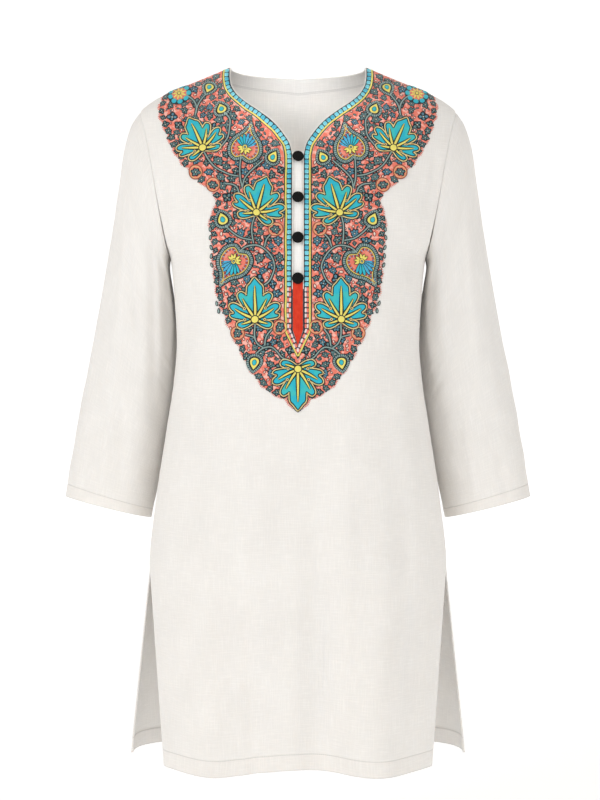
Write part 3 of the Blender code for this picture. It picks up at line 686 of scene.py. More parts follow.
LINEN = linen("off-white linen", WARM_WHITE, -HEM, HEM_DEPTH)
LINEN_SLEEVE = linen("off-white sleeve linen", WARM_WHITE, SLEEVE_LENGTH, CUFF_HEM)
PLAIN_FACING = linen("facing cloth", WARM_WHITE, FACING, FACING_STITCHES, crumple=0.3)
# The placket strip lies in a recess between the borders; its whiter card is painted light.
LIGHTENED_STRIP_CLOTH = linen("placket cloth, painted lighter", PAINTED_LIGHT_WHITE, 0, HEM_DEPTH, crumple=0.3)
print("linen threads every", YARN, "mm")

# %% [markdown]
# ## Walls of cloth
# Every panel is a wall with two faces: the outer one follows the surface, and the inner one
# lies a cloth's thickness behind it. Where a hem is turned up the wall is thicker, because
# there are three layers. The rims close the wall, so that it is cloth from every side.
# Every piece rides on the garment and carries the grain along which its threads run.
# %% The piece maker
def strips(rows, columns, around=True):
    """The faces between rows of points; around closes each row on itself."""
    number = np.arange(rows * columns).reshape(rows, columns)
    if around:
        number = np.concatenate([number, number[:, :1]], 1)
    quads = [number[:-1, :-1], number[:-1, 1:], number[1:, 1:], number[1:, :-1]]
    return np.stack(quads, -1).reshape(-1, 4)


def make(name, points, faces, materials, nodes, grain, indices=None, sharp=50, closed=True):
    """A piece that rides on the garment; it may stand for nodes of the solids."""
    mesh = bpy.data.meshes.new(name)
    points = np.asarray(points, float) * MM
    mesh.from_pydata(points.tolist(), [], faces)
    for material in materials:
        mesh.materials.append(material)
    if indices is not None:
        mesh.polygons.foreach_set("material_index", np.asarray(indices, np.int32))
    corners = np.zeros(len(mesh.loops), np.int32)
    mesh.loops.foreach_get("vertex_index", corners)
    layer = mesh.uv_layers.new(name="grain")
    layer.data.foreach_set("uv", (np.asarray(grain, float) * MM)[corners].ravel())
    mesh.validate()
    if closed:
        work = bmesh.new()
        work.from_mesh(mesh)
        bmesh.ops.recalc_face_normals(work, faces=work.faces)
        work.to_mesh(mesh)
        work.free()
    mesh.shade_smooth()
    mesh.set_sharp_from_angle(angle=math.radians(sharp))
    piece = bpy.data.objects.new(name, mesh)
    bpy.context.scene.collection.objects.link(piece)
    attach(piece, "root")
    if nodes:
        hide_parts(*nodes)


print("two rows of four points have", len(strips(2, 4, around=False)), "faces between them")

# %% [markdown]
# A wall is made from one patch or more. Where patches meet, their points are joined, and an
# edge that belongs to one face only is the wall's rim.
# %% The wall builder
CLOTH = 0.9  # mm, a little stouter than real cloth, to hold its rims
HEM_CLOTH = 1.9
sheets = {}  # each piece's own surface, for the cutter's sizes


def wall(name, patches, material, node):
    """A closed wall from patches (outer points, inner points, grain), joined where they meet."""
    faces, first = [], 0
    for out, *_ in patches:
        faces.append(first + strips(*out.shape[:2], around=False))
        first += out.shape[0] * out.shape[1]
    faces = np.concatenate(faces)
    outer, inner, grain = (
        np.concatenate([part.reshape(-1, part.shape[-1]) for part in parts])
        for parts in zip(*patches)
    )
    places = np.round(outer, 2) + 0.0
    _, kept, joined = np.unique(places, axis=0, return_index=True, return_inverse=True)
    outer, inner, grain = outer[kept], inner[kept], grain[kept]
    faces = joined.reshape(-1)[faces]
    count = len(outer)
    edges = np.stack([faces, np.roll(faces, -1, 1)], -1).reshape(-1, 2)
    edges = edges[edges[:, 0] != edges[:, 1]]
    _, where, times = np.unique(np.sort(edges, 1), axis=0, return_index=True, return_counts=True)
    rim = edges[where[times == 1]]
    rims = np.stack([rim[:, 1], rim[:, 0], rim[:, 0] + count, rim[:, 1] + count], -1)
    sheets[name] = outer, clean(faces)
    every = sheets[name][1] + clean(faces[:, ::-1] + count) + rims.tolist()
    points, threads = np.concatenate([outer, inner]), np.concatenate([grain, grain])
    make(name, points, every, [material], [node], threads)


def clean(faces):
    """Faces without repeated corners, which come up where a row runs out to a point."""
    faces = [[corner for i, corner in enumerate(face) if corner != face[i - 1]]
             for face in faces.tolist()]
    return [face for face in faces if len(face) > 2]


def area(name):
    """The area of a piece's outer face, in square metres."""
    points, faces = sheets[name]
    fans = [(face[0], *pair) for face in faces for pair in zip(face[1:], face[2:])]
    first, second, third = (points * MM)[np.array(fans)].swapaxes(0, 1)
    return float(np.linalg.norm(np.cross(second - first, third - first), axis=-1).sum() / 2)


def finely(start, end, pitch, tight=()):
    """Numbers from start to end, a pitch apart at most, with a few more beside the ends."""
    near, far = tight or ((), ())
    low, high = start + (near[-1] if near else 0), end - (far[-1] if far else 0)
    middle = np.linspace(low, high, max(2, int(math.ceil((high - low) / pitch)) + 1))
    before = [start + step for step in (0, *near[:-1])] if near else []
    after = [end - step for step in reversed((0, *far[:-1]))] if far else []
    return np.array([*before, *middle, *after])


def report(name):
    faces = len(bpy.data.objects[name].data.polygons)
    print(f"{name}: {faces} faces, {area(name):.3f} square metres")


print("walls of", CLOTH, "mm,", HEM_CLOTH, "mm in the hems")

# %% [markdown]
# ## The front and back panels
# The rows of a panel are the rows a cutter would chalk: from the neckline to the armhole,
# then from the middle to the side seam, then down the slits to the hem. Near an edge they
# are closer, to carry the groove of the stitching and the slight pucker that it leaves.
# %% Rows and columns of the panels
NECK_ROWS, ARMHOLE_ROWS, SIDE_ROWS = 8, 12, 8
NECK_CROWDING = 1.35
NECK_PITCH, OPENING_PITCH, SIDE_PITCH = 1 / 5, 1 / 6, 1 / 11
SLIT_PITCH = 4.4
COLUMNS = 52
EDGE_STEPS = (1.2, 3.4, 6.9, 8.0, 9.1, 13.0)
SLIT_HEM = 8.0  # the line of stitching beside a slit
GROOVE = 0.45
SEAM_DIP = 0.75
PUCKER = 0.32
EVEN_SAMPLES = 90
GROOVE_REACH, SEAM_REACH, PUCKER_REACH = 1.7, 2.6, 6.5  # mm from the line of stitching
SLIT_GROOVE_REACH = 1.3
HEM_PUCKER, HEM_PUCKER_REACH = 0.6, 12  # the share of a seam's pucker, and how far it goes
ROW_STEP = 4.3  # mm from row to row, about
RAMP = 1.2  # mm over which a hem's thickness sets in
PUCKERS = {"length": 11, "waves": 5}
GATHERS = {"length": 13, "waves": 5}


def hem_drop(x, z):
    """The hem hangs lower under the two front folds than between them and at the slits."""
    low = np.maximum(0, (SLIT_TOP - z) / (SLIT_TOP - HEM))
    sag = swell(np.abs(x) - HEM_SAG_X, HEM_SAG_REACH) - swell(x, HEM_SAG_REACH)
    return -HEM_SAG * low * sag


def slit_rows():
    """Heights under the top of the slits; some lie round the hem's line of stitching."""
    ledge = HEM + HEM_DEPTH
    free = finely(SLIT_TOP, ledge + 4.0, SLIT_PITCH)[1:]
    groove = ledge - np.array([-1.6, -0.7, 0, 0.7, 1.8])
    return np.array([*free, *groove, *finely(ledge - 5.5, HEM + 3.4, SLIT_PITCH), HEM + 1.2, HEM])


def end_rows(panel):
    """x and z of the rows' inner and outer ends of the front's cut, and of the back's outer."""
    neck = finely(0, NECK_ROWS, NECK_PITCH, ((0.07, 0.2), ()))
    opening = finely(NECK_ROWS, ARMHOLE_ROWS, OPENING_PITCH)[1:]
    side = finely(ARMHOLE_ROWS, ARMHOLE_ROWS + SIDE_ROWS, SIDE_PITCH)[1:]
    slit = slit_rows()
    notch_x, notch_z = neckline(1.0)
    neck_x, neck_z = neckline((neck / NECK_ROWS) ** NECK_CROWDING)
    open_z = notch_z + (OPENING_END - notch_z) * (opening - NECK_ROWS) / (ARMHOLE_ROWS - NECK_ROWS)
    gone = side - ARMHOLE_ROWS
    top = OPENING_END - UNDER_OPENING
    side_x = notch_x * np.maximum(0, 1 - gone)
    low_z = top + (SLIT_TOP - top) * (gone - 1) / (SIDE_ROWS - 1)
    side_z = np.where(gone < 1, OPENING_END + (top - OPENING_END) * gone, low_z)
    inner_x = np.concatenate([neck_x, np.full(len(opening), notch_x), side_x, 0 * slit])
    inner_z = np.concatenate([neck_z, open_z, side_z, slit])
    arm_x, arm_z = armhole(180 * np.concatenate([neck, opening]) / ARMHOLE_ROWS)
    seam_z = UNDERARM + (SLIT_TOP - UNDERARM) * gone / SIDE_ROWS
    outer_z = np.concatenate([arm_z, seam_z, slit])
    outer_x = np.concatenate([arm_x, panel.half_width(outer_z[len(arm_x):])])
    counts = len(neck), len(opening), len(side), len(slit)
    return (inner_x, inner_z), (outer_x, outer_z), counts


def rows_between(panel, start, end, t):
    """x and z of rows over the cloth, each from its start to its end by the shares t."""
    return panel.between(*[tuple(v[:, None] for v in place) for place in (start, end)], t)


def evenly(panel, start, end, shares=None, steps=None):
    """Places in given steps over the cloth, each row from its start to its end."""
    t = np.linspace(0, 1, EVEN_SAMPLES)
    points = panel.place(*rows_between(panel, start, end, t))
    hop = np.linalg.norm(np.diff(points, axis=1), axis=-1)
    gone = np.concatenate([np.zeros((len(hop), 1)), np.cumsum(hop, 1)], 1)
    rows = []
    for i, length in enumerate(gone[:, -1]):
        want = length * shares if steps is None else steps(length)
        share = np.interp(want, gone[i], t)
        row = panel.between((start[0][i], start[1][i]), (end[0][i], end[1][i]), share)
        rows.append((*row, want))
    return *map(np.array, zip(*rows)), gone[:, -1]


def edged(columns):
    """Steps over a row that crowd at its outer end, where the seam or the slit's hem is."""
    free = columns - len(EDGE_STEPS)

    def steps(length):
        inner = np.linspace(0, length - EDGE_STEPS[-1], free + 1)
        return np.concatenate([inner, length - np.array([0, *EDGE_STEPS[:-1]])[::-1]])

    return steps


print("the last columns of a row of 100 mm:", edged(COLUMNS)(100.0)[-4:].round(1))

# %% [markdown]
# Both panels are made half by half. The groove beside a hem, the dip at a seam and the
# pucker that its stitches leave are all set by the distance to the edge.
# %% The front
def half_panel(panel, hand, start, end, first_across, steps):
    """Half of a panel: its outer and inner points and its grain."""
    x, z, across, length = evenly(panel, start, end, steps=steps)
    to_edge = length[:, None] - across
    slit = np.broadcast_to(end[1][:, None], z.shape) < SLIT_TOP - 0.1
    drop = hem_drop(hand * x, z) if panel is FRONT else 0.0
    points = panel.place(hand * x, z + drop)
    normal = panel.normal(points)
    to_hem = z - HEM
    ledge = swell(to_hem - HEM_DEPTH, GROOVE_REACH) * slit * (to_edge > SLIT_HEM - 1)
    beside = swell(to_edge - SLIT_HEM, SLIT_GROOVE_REACH) * slit
    lower = -GROOVE * np.maximum(ledge, beside)
    run = np.cumsum(np.full(len(z), ROW_STEP))[:, None]
    wrinkled = wander(run, to_edge, 40 + panel.seed + hand, **PUCKERS)
    lower = lower - SEAM_DIP * swell(to_edge, SEAM_REACH) * ~slit
    fading = np.exp(-((to_edge / PUCKER_REACH) ** 2))
    lower = lower + PUCKER * wrinkled * fading * (to_edge > 0.1)
    gathered = wander(hand * x, z * 0.2, 77 + panel.seed, **GATHERS)
    near_hem = swell(to_hem - HEM_DEPTH, HEM_PUCKER_REACH)
    lower = lower + PUCKER * HEM_PUCKER * gathered * near_hem
    points = points + normal * lower[..., None]
    hemmed = np.maximum(ease((HEM_DEPTH - to_hem) / RAMP), slit * ease((SLIT_HEM - to_edge) / RAMP))
    thick = CLOTH + (HEM_CLOTH - CLOTH) * hemmed
    on_side = (z > SLIT_TOP - 1) & (x > panel.half_width(z) - 0.01)
    points[..., 1] += panel.side * SEAM_GAP / 2 * on_side
    grain = np.stack([hand * (first_across + across), -np.broadcast_to(z, x.shape)], -1)
    return points, points - normal * thick[..., None], grain


def front_panel():
    start, end, _ = end_rows(FRONT)
    first = start[0][:, None]
    halves = [half_panel(FRONT, hand, start, end, first, edged(COLUMNS)) for hand in (-1, 1)]
    wall("front_cloth", halves, LINEN, "front")


front_panel()
report("front_cloth")

# %% [markdown]
# The back has no opening. Its neck is a shallow curve, so its upper rows go from the middle
# to a place under the neck point and on to the armhole. Further down they are plain rings.
# %% The back
BACK_NECK_SHARE = 5 / 12  # of a row lies between the middle and the neck point
BACK_NECK_COLUMNS = 22
UNDERARM_PLACE = armhole(180.0)


def back_rows(order):
    """Middle, neck and armhole places of the back's upper rows."""
    low = (np.array([0.0]), np.array([UNDERARM])), tuple(np.array([v]) for v in UNDERARM_PLACE)
    low_x = evenly(BACK, *low, shares=np.array([BACK_NECK_SHARE]))[0][0, 0]
    to_facing = np.minimum(1, order)
    fallen = np.maximum(0, order - 1) / (ARMHOLE_ROWS - 1)
    middle_z = -BACK_NECK_DROP - FACING * to_facing
    middle_z = middle_z + (UNDERARM - middle_z) * fallen
    neck_x = BACK.half_width(0) + (FACING_END.x - BACK.half_width(0)) * to_facing
    neck_x = neck_x + (low_x - neck_x) * fallen
    neck_z = FACING_END.z * to_facing
    neck_z = neck_z + (UNDERARM - neck_z) * fallen
    return (0 * order, middle_z), (neck_x, neck_z), armhole(180 * order / ARMHOLE_ROWS)


def back_panel():
    _, end, counts = end_rows(BACK)
    top = counts[0] + counts[1]
    order = np.concatenate([finely(0, NECK_ROWS, NECK_PITCH, ((0.07, 0.2), ())),
                            finely(NECK_ROWS, ARMHOLE_ROWS, OPENING_PITCH)[1:]])
    start, neck, arm = back_rows(order)
    low_end = tuple(v[top:] for v in end)
    low_start = (0 * low_end[1], low_end[1])
    outer_columns = COLUMNS - BACK_NECK_COLUMNS + 6

    def low_steps(length):
        inner = np.linspace(0, length * BACK_NECK_SHARE, BACK_NECK_COLUMNS + 1)
        return np.concatenate([inner[:-1], inner[-1] + edged(outer_columns)(length - inner[-1])])

    halves = []
    for hand in (-1, 1):
        shares = np.linspace(0, 1, BACK_NECK_COLUMNS + 1)
        x, z, across, length = evenly(BACK, start, neck, shares)
        points = BACK.place(hand * x, z)
        grain = np.stack([hand * across, -z], -1)
        middle = (points, points - BACK.normal(points) * CLOTH, grain)
        side = half_panel(BACK, hand, neck, arm, length[:, None], edged(outer_columns))
        upper = [np.concatenate([a[:, :-1], b], 1) for a, b in zip(middle, side)]
        low = half_panel(BACK, hand, low_start, low_end, 0.0, low_steps)
        halves.append([np.concatenate(parts) for parts in zip(upper, low)])
    wall("back_cloth", halves, LINEN, "back")


back_panel()
report("back_cloth")

# %% [markdown]
# ## The sleeves
# A sleeve is one piece of cloth closed by a seam under the arm, with a narrow hem at the
# cuff. Its upper edge lies on the armhole seam, where both cloths dip a little, because the
# stitches pull them in.
# %% Sew in the sleeves
SLEEVE_COLUMNS = 4.2  # degrees
SLEEVE_PITCH = 0.0095  # share of the length
CAP_TURN, CAP_EASE = 50.0, 60.0
CAP_REACH = 3.2  # mm over which the cloth dips into the armhole seam
UNDER_SEAM, UNDER_REACH = 0.55, 2.2  # depth and half width of the seam under the arm
CAP_PUCKER, CAP_PUCKER_REACH = 1.3, 8  # the share of a seam's pucker, and how far it goes
CUFF_PUCKER, CUFF_PUCKER_REACH = 0.8, 11


def sleeve(name, body):
    hem = 1 - CUFF_HEM / SLEEVE_LENGTH
    thread = 0.9 / SLEEVE_LENGTH
    top = finely(0, hem - 3 * thread, SLEEVE_PITCH, ((0.0025, 0.007), ()))
    low = finely(hem + 4 * thread, 1, SLEEVE_PITCH, ((), (0.0025, 0.007)))
    gone = np.concatenate([top, hem + thread * np.array([-1.6, -0.7, 0, 0.7, 1.6]), low])[:, None]
    under = finely(0, 180, SLEEVE_COLUMNS, ((), (1.0, 2.6)))
    turn = np.concatenate([under, 360 - under[-2::-1]])[None, :]
    gone, turn = np.broadcast_arrays(gone, turn)
    points = body.place(gone, turn)
    normal = body.normal(gone, turn)
    mirror = np.array([body.hand, 1, 1])
    sides = [panel.normal(points[0] * mirror) * mirror for panel in (FRONT, BACK)]
    panel_normal = np.where((turn[0] <= 180)[:, None], *sides)
    own = ease((np.minimum(turn[0], 360 - turn[0]) - CAP_TURN) / CAP_EASE)[:, None]
    normal[0] = unit(panel_normal * (1 - own) + normal[0] * own)
    around, fallen = turn * GIRTH_DEGREE, gone * SLEEVE_LENGTH
    past_hem = (gone - hem) * SLEEVE_LENGTH
    lower = -SEAM_DIP * swell(fallen, CAP_REACH)
    lower = lower - GROOVE * swell(past_hem, GROOVE_REACH)
    lower = lower - UNDER_SEAM * swell((turn - 180) * GIRTH_DEGREE, UNDER_REACH)
    puckered = wander(around, gone * 90, 60 + body.seed, **PUCKERS)
    fading = np.exp(-((fallen / CAP_PUCKER_REACH) ** 2))
    lower = lower + PUCKER * CAP_PUCKER * puckered * fading * (gone > 0)
    lower = lower + PUCKER * CUFF_PUCKER * puckered * swell(past_hem, CUFF_PUCKER_REACH)
    points = points + normal * lower[..., None]
    points[0, :, 0] += SEAM_GAP / 2
    thick = CLOTH + (HEM_CLOTH - CLOTH) * ease(past_hem / RAMP + 1)
    grain = np.stack([around, fallen], -1)
    patch = (points * mirror, (points - normal * thick[..., None]) * mirror, grain)
    wall(f"{name}_cloth", [patch], LINEN_SLEEVE, name)
    report(f"{name}_cloth")


for name, body in SLEEVES.items():
    sleeve(name, body)

# %% [markdown]
# ## The facing and the placket
# Inside the back neck lies a shaped band, stitched along its lower edge, where its stitch line and
# edge carry painted shade. Behind the opening a straight strip, in a whiter card that is painted
# light, carries the buttons and closes the view between the two bordered edges.
# %% Lay in the facing and the strip
PLACKET_GAP = 1.1
FACING_REACH = 0.98
FACING_GAP, FACING_CLOTH = 0.2, 0.8


def facing():
    order = finely(0, 1, 0.2)
    start, neck, _ = back_rows(order)
    x, z, across, _ = evenly(BACK, start, neck, np.linspace(0, FACING_REACH, 40))
    x, z, across = (
        np.concatenate([sign * half[:, :0:-1], half], 1)
        for sign, half in ((-1, x), (1, z), (-1, across))
    )
    points = BACK.place(x, z)
    normal = BACK.normal(points)
    outer = points - normal * (CLOTH + FACING_GAP)
    down_it = np.broadcast_to(order[:, None] * FACING, x.shape)
    return outer, outer - normal * FACING_CLOTH, np.stack([across, down_it], -1)


def placket():
    z = np.linspace(PLACKET_TOP, PLACKET_END, 46)[:, None]
    x, z = np.broadcast_arrays(np.linspace(-PLACKET_HALF, PLACKET_HALF, 13), z)
    points = FRONT.place(x, z)
    normal = FRONT.normal(points)
    outer = points - normal * (CLOTH + PLACKET_GAP)
    return outer, outer - normal * CLOTH, np.stack([x, z], -1)


wall("facing_cloth", [facing()], PLAIN_FACING, "back_neck_facing")
wall("placket_strip", [placket()], LIGHTENED_STRIP_CLOTH, "button_placket")
report("facing_cloth")
report("placket_strip")

# %% [markdown]
# ## The embroidery's ground
# Dense work like this is stitched on a ground of coral thread that hides the linen. It is a
# thin raised layer with a scalloped edge. Everything on the front is placed by its x and z
# in the front view and by its height above the cloth, so it follows every fold.
# %% The thread finish
THREAD = 0.8  # mm from one stitch to the next


def thread(name, card, other=None, ridge=1.0, roughness=0.62, patches=9.0):
    """Rows of laid thread, darker between the rows and lighter on their crests as painted shade and
    painted sheen; the colour turns to another one in patches.
    """
    work = Finish(name, roughness=roughness, sheen=0.15)
    across, along_it = work.grain()
    stitch = (across * (math.pi / THREAD)).sine().size()
    # Darker between the rows and lighter on their crests: painted shade and painted sheen, on the
    # same ridges as the bump.
    colour = work.mix(stitch.between(0.1, 0.75), shade(*card, 0.78), shade(*card, 1.10))
    if other:
        spots = work.noise(across / patches, along_it / patches, 2.5, 4.0).between(0.50, 0.60)
        colour = work.mix(spots, colour, shade(*other))
    work.feed(Base_Color=colour)
    work.bump(stitch, 0.3 * ridge)
    return work.material


CORAL = (240, 124, 105)
PALE_CORAL = (247, 190, 176)
GROUND_THREAD = thread("coral ground", CORAL, PALE_CORAL, ridge=0.7, patches=5.0)
print("stitches every", THREAD, "mm")

# %% [markdown]
# The ground's outer edge is a row of small scallops. Its inner edge runs beside the border,
# down both sides of the opening and round the border's point. The border itself is a band
# of constant width, measured at right angles to the neckline.
# %% The edges of the ground and of the border
NECK_SHARE, STRAIGHT_SHARE = 0.42, 0.90
BORDER_ROWS, YOKE_ROWS = 36, 48
BORDER_CROWDING = 1.2
YOKE_TIP = 5.0
TAB_CLEAR = 2.0
SHANK_CLEAR = 4.4  # the tab runs up under the last button, as far as its shank
GROUND_INSET = 1.2  # the flowers along the edge reach out over the ground


def border_edge(share, width):
    """x and z of a line a width out from the neckline and the opening."""
    share, width = np.broadcast_arrays(np.asarray(share, float), np.asarray(width, float))
    t = np.clip(share / NECK_SHARE, 0, 1)
    run = heading(neckline, t, 0.02)
    x, z = neckline(t)
    neck_x = np.maximum(x - run[..., 1] * width, OPENING_HALF + width)
    neck_z = z + run[..., 0] * width
    t = np.clip((share - NECK_SHARE) / (STRAIGHT_SHARE - NECK_SHARE), 0, 1)
    notch = neckline(1.0)[1]
    open_z = notch + (BORDER_SHOULDER - notch) * t
    t = np.clip((share - STRAIGHT_SHARE) / (1 - STRAIGHT_SHARE), 0, 1)
    toe = BORDER_POINT - BORDER_TOE * width / BORDER
    low_x = (OPENING_HALF + width) * (1 - t)
    low_z = BORDER_SHOULDER + (toe - BORDER_SHOULDER) * t
    on_neck, on_straight = share <= NECK_SHARE, share <= STRAIGHT_SHARE
    x = np.where(on_neck, neck_x, np.where(on_straight, OPENING_HALF + width, low_x))
    z = np.where(on_neck, neck_z, np.where(on_straight, open_z, low_z))
    return x, z


def border_share(row):
    return (row / BORDER_ROWS) ** BORDER_CROWDING


def yoke_inner(row):
    """x and z of the ground's inner edge: beside the border, then down the middle."""
    beside = border_edge(border_share(np.minimum(row, BORDER_ROWS)), BORDER + BORDER_CLEAR)
    top = border_edge(1.0, BORDER + BORDER_CLEAR)[1]
    low = YOKE_OUTLINE[-1].z + YOKE_TIP
    z = top + (low - top) * (row - BORDER_ROWS) / (YOKE_ROWS - BORDER_ROWS)
    under = row > BORDER_ROWS
    return np.where(under, 0, beside[0]), np.where(under, z, beside[1])


def yoke_share(row):
    return (row / YOKE_ROWS) ** YOKE_CROWDING


def yoke_outer(share, out):
    """x and z of the outline, moved out."""
    x, z = yoke_outline(share)
    run = heading(yoke_outline, share, 0.01)
    return np.maximum(0, x - run[..., 1] * out), z + run[..., 0] * out


def scallop(row):
    """How far the edge stands out at a row; the notches are sharper than the bows."""
    wave = (1 - np.cos(math.pi * row)) / 2
    return SCALLOP_RISE * (wave**0.6 - 0.5) * np.minimum(1, np.minimum(row, YOKE_ROWS - row))


rim_x, rim_z = border_edge(np.linspace(0, 1, 99), BORDER)
print("the border's outer edge is", travelled(rim_x, rim_z)[-1].round(), "mm long")

# %% [markdown]
# Between those edges lie the ground, the border's backing and the pointed tab of orange-red
# cloth under the opening. All three are thin walls, a little above the linen.
# %% The ground, the border's band and the tab
GROUND_LOW, GROUND_TOP = 0.30, 0.85  # above the cloth
TAB_LOW, TAB_TOP, TAB_CROWN = 0.3, 0.85, 0.5


def on_shoulder(x, z):
    """Places kept on the front's side of the shoulder seam."""
    return x, np.minimum(z, shoulder_z(x))


def laid(x, z, hand, low, top):
    """Outer and inner points of something that lies on the front."""
    points = FRONT.place(hand * x, z)
    normal = FRONT.normal(points)
    seam = (z > SHOULDER_POINT) & (x > FRONT.half_width(z) - 0.01)
    points[..., 1] -= SEAM_GAP / 2 * seam
    return points + normal * top, points + normal * low


def yoke_half(hand):
    row = np.linspace(0, YOKE_ROWS, YOKE_ROWS * 6 + 1)
    inner = on_shoulder(*yoke_inner(row))
    outer = on_shoulder(*yoke_outer(yoke_share(row), scallop(row) - GROUND_INSET))
    t = np.concatenate([[0, 0.012], np.linspace(0.04, 0.96, 27), [0.988, 1]])
    x, z = rows_between(FRONT, inner, outer, t)
    bulge = GROUND_TOP - 0.35 * swell(1 - t, 0.02)
    top, low = laid(x, z, hand, GROUND_LOW, np.broadcast_to(bulge, x.shape)[..., None])
    return top, low, np.stack([hand * x, z], -1)


def border_half(hand):
    row = np.linspace(0, BORDER_ROWS, BORDER_ROWS * 7 + 1)
    edges = [on_shoulder(*border_edge(border_share(row), width)) for width in (0.0, BORDER)]
    t = np.array([0, 0.06, 0.14, 0.3, 0.5, 0.7, 0.9, 1])
    x, z = rows_between(FRONT, *edges, t)
    top = (GROUND_TOP - 0.15 * (t < 0.1))[None, :, None]
    outer, inner = laid(x, z, hand, GROUND_LOW, top)
    grain = np.broadcast_arrays(t * BORDER, travelled(*edges[1])[:, None])
    return outer, inner, np.stack(grain, -1)


def tab():
    """The pointed tab between the border's closing edges, under the opening."""
    top = BUTTON_HEIGHTS[-1] - SHANK_CLEAR
    low = BORDER_POINT + TAB_CLEAR
    z = np.linspace(top, low, 40)
    left = (BORDER_POINT + TAB_CLEAR / 2 - z) / (BORDER_POINT - BORDER_SHOULDER)
    half = (OPENING_HALF - SEAM_GAP) * np.minimum(1, left)
    share = np.linspace(-1, 1, 11)
    x, z = np.broadcast_arrays(half[:, None] * share, z[:, None])
    points = FRONT.place(x, z)
    normal = FRONT.normal(points)
    crown = TAB_TOP + TAB_CROWN * (1 - share**4)[None, :, None]
    return points + normal * crown, points + normal * TAB_LOW, np.stack([x, z], -1)


def edge_cloth():
    """Dark backing between the border's beads, with a light rim as far as the opening goes."""
    backing = Finish("border backing", roughness=0.85, sheen=0.1)
    across, down_it = backing.grain()
    grained = backing.noise(across / 1.1, down_it / 1.1, 1.0).between(0.35, 0.65)
    x, z = border_edge(np.linspace(0, 1, 400), BORDER)
    rim_end = float(np.interp(-OPENING_END, -z, travelled(x, z)))
    rim = across.between(0.5, 1.0) + down_it.between(rim_end - 0.5, rim_end)
    dark = backing.mix(grained, shade(36, 44, 54), shade(58, 66, 76))
    backing.feed(Base_Color=backing.mix(rim, shade(240, 236, 228), dark))
    backing.bump(grained, 0.2)
    return backing.material


def red_cloth():
    """Plain orange-red cloth with a fine slubbed weave."""
    cloth = Finish("orange-red cloth", roughness=0.8, sheen=0.1)
    across, down_it = cloth.grain()
    slub = cloth.noise(across / 0.9, down_it / 9, 1.5).between(0.4, 0.7)
    cloudy = cloth.noise(across / 6, down_it / 9, 2.0).between(0.35, 0.65)
    tone = slub * 0.5 + cloudy * 0.5
    cloth.feed(Base_Color=cloth.mix(tone, shade(198, 44, 20), shade(222, 66, 36)))
    cloth.bump(slub, 0.25)
    return cloth.material


BACKING, RED_CLOTH = edge_cloth(), red_cloth()
yoke_halves, border_halves = [[half(hand) for hand in (-1, 1)] for half in (yoke_half, border_half)]
wall("yoke_ground", yoke_halves, GROUND_THREAD, "embroidered_yoke")
wall("border_band", border_halves, BACKING, "neck_border")
wall("tab_cloth", [tab()], RED_CLOTH, "placket_tab")
report("yoke_ground")
report("border_band")

# %% [markdown]
# ## Stitching on the front
# The work is stitched in a few dyed threads. Most of them turn to a second colour in
# patches, as a hank does that was dyed by hand.
# %% The threads
THREADS = {  # name: thread of a colour, with patches of another one
    "dark": thread("dark thread", (20, 28, 34), (34, 48, 56), patches=3.0),
    "slate": thread("slate thread", (98, 134, 136), (54, 82, 90), patches=2.5),
    "steel": thread("steel blue thread", (88, 142, 164), (66, 104, 124), patches=3.0),
    "stem": thread("grey-green thread", (140, 164, 160), ridge=0.7),
    "ash": thread("ash grey thread", (188, 202, 196), ridge=0.7),
    "turquoise": thread("turquoise thread", (42, 186, 208), (64, 200, 200), patches=16.0),
    "blue": thread("blue thread", (78, 182, 220), (56, 150, 196), patches=5.0),
    "yellow": thread("yellow thread", (250, 222, 112), ridge=0.8),
    "gold": thread("old gold thread", (240, 214, 152), (220, 176, 112), ridge=0.8, patches=6.0),
    "brown": thread("brown thread", (150, 82, 62), (178, 112, 78), ridge=0.8),
    "red": thread("dark red thread", (152, 40, 48), (190, 66, 60), ridge=0.8),
    "pale": thread("pale thread", (240, 226, 210), (226, 200, 190), ridge=0.8),
    "coral": thread("coral thread", CORAL, (246, 150, 128), ridge=0.8),
}
COLOURS = list(THREADS)
print(len(COLOURS), "threads")

# %% [markdown]
# All the embroidery is made of two things. A patch is a filled shape, domed like satin
# stitch over padding. A cord is a narrow ridge along a line. Both are drawn flat, in the
# front view, with a height above the cloth, and are then laid on the front. `Work` gathers
# them, since a thousand separate objects would be slow.
# %% The stitcher
RING_PITCH = 4.5  # mm between the rings of a patch, so that a large one still follows the cloth
UNEVEN_HAND = 0.5  # mm by which the two halves differ, as two hands' work would
RIDGE = ((-1.0, -0.45), (-0.72, 0.62), (0.0, 1.0), (0.72, 0.62), (1.0, -0.45))  # a cord's section
FOOT = 0.8  # mm above the cloth, where the edges of the large shapes end
NEARLY_0 = 1e-9  # keeps a path's direction from being nothing where two points meet


def outward(shape):
    """The directions that lead out of a closed shape at its points."""
    return left_of(unit(np.roll(shape, -1, 0) - np.roll(shape, 1, 0)))


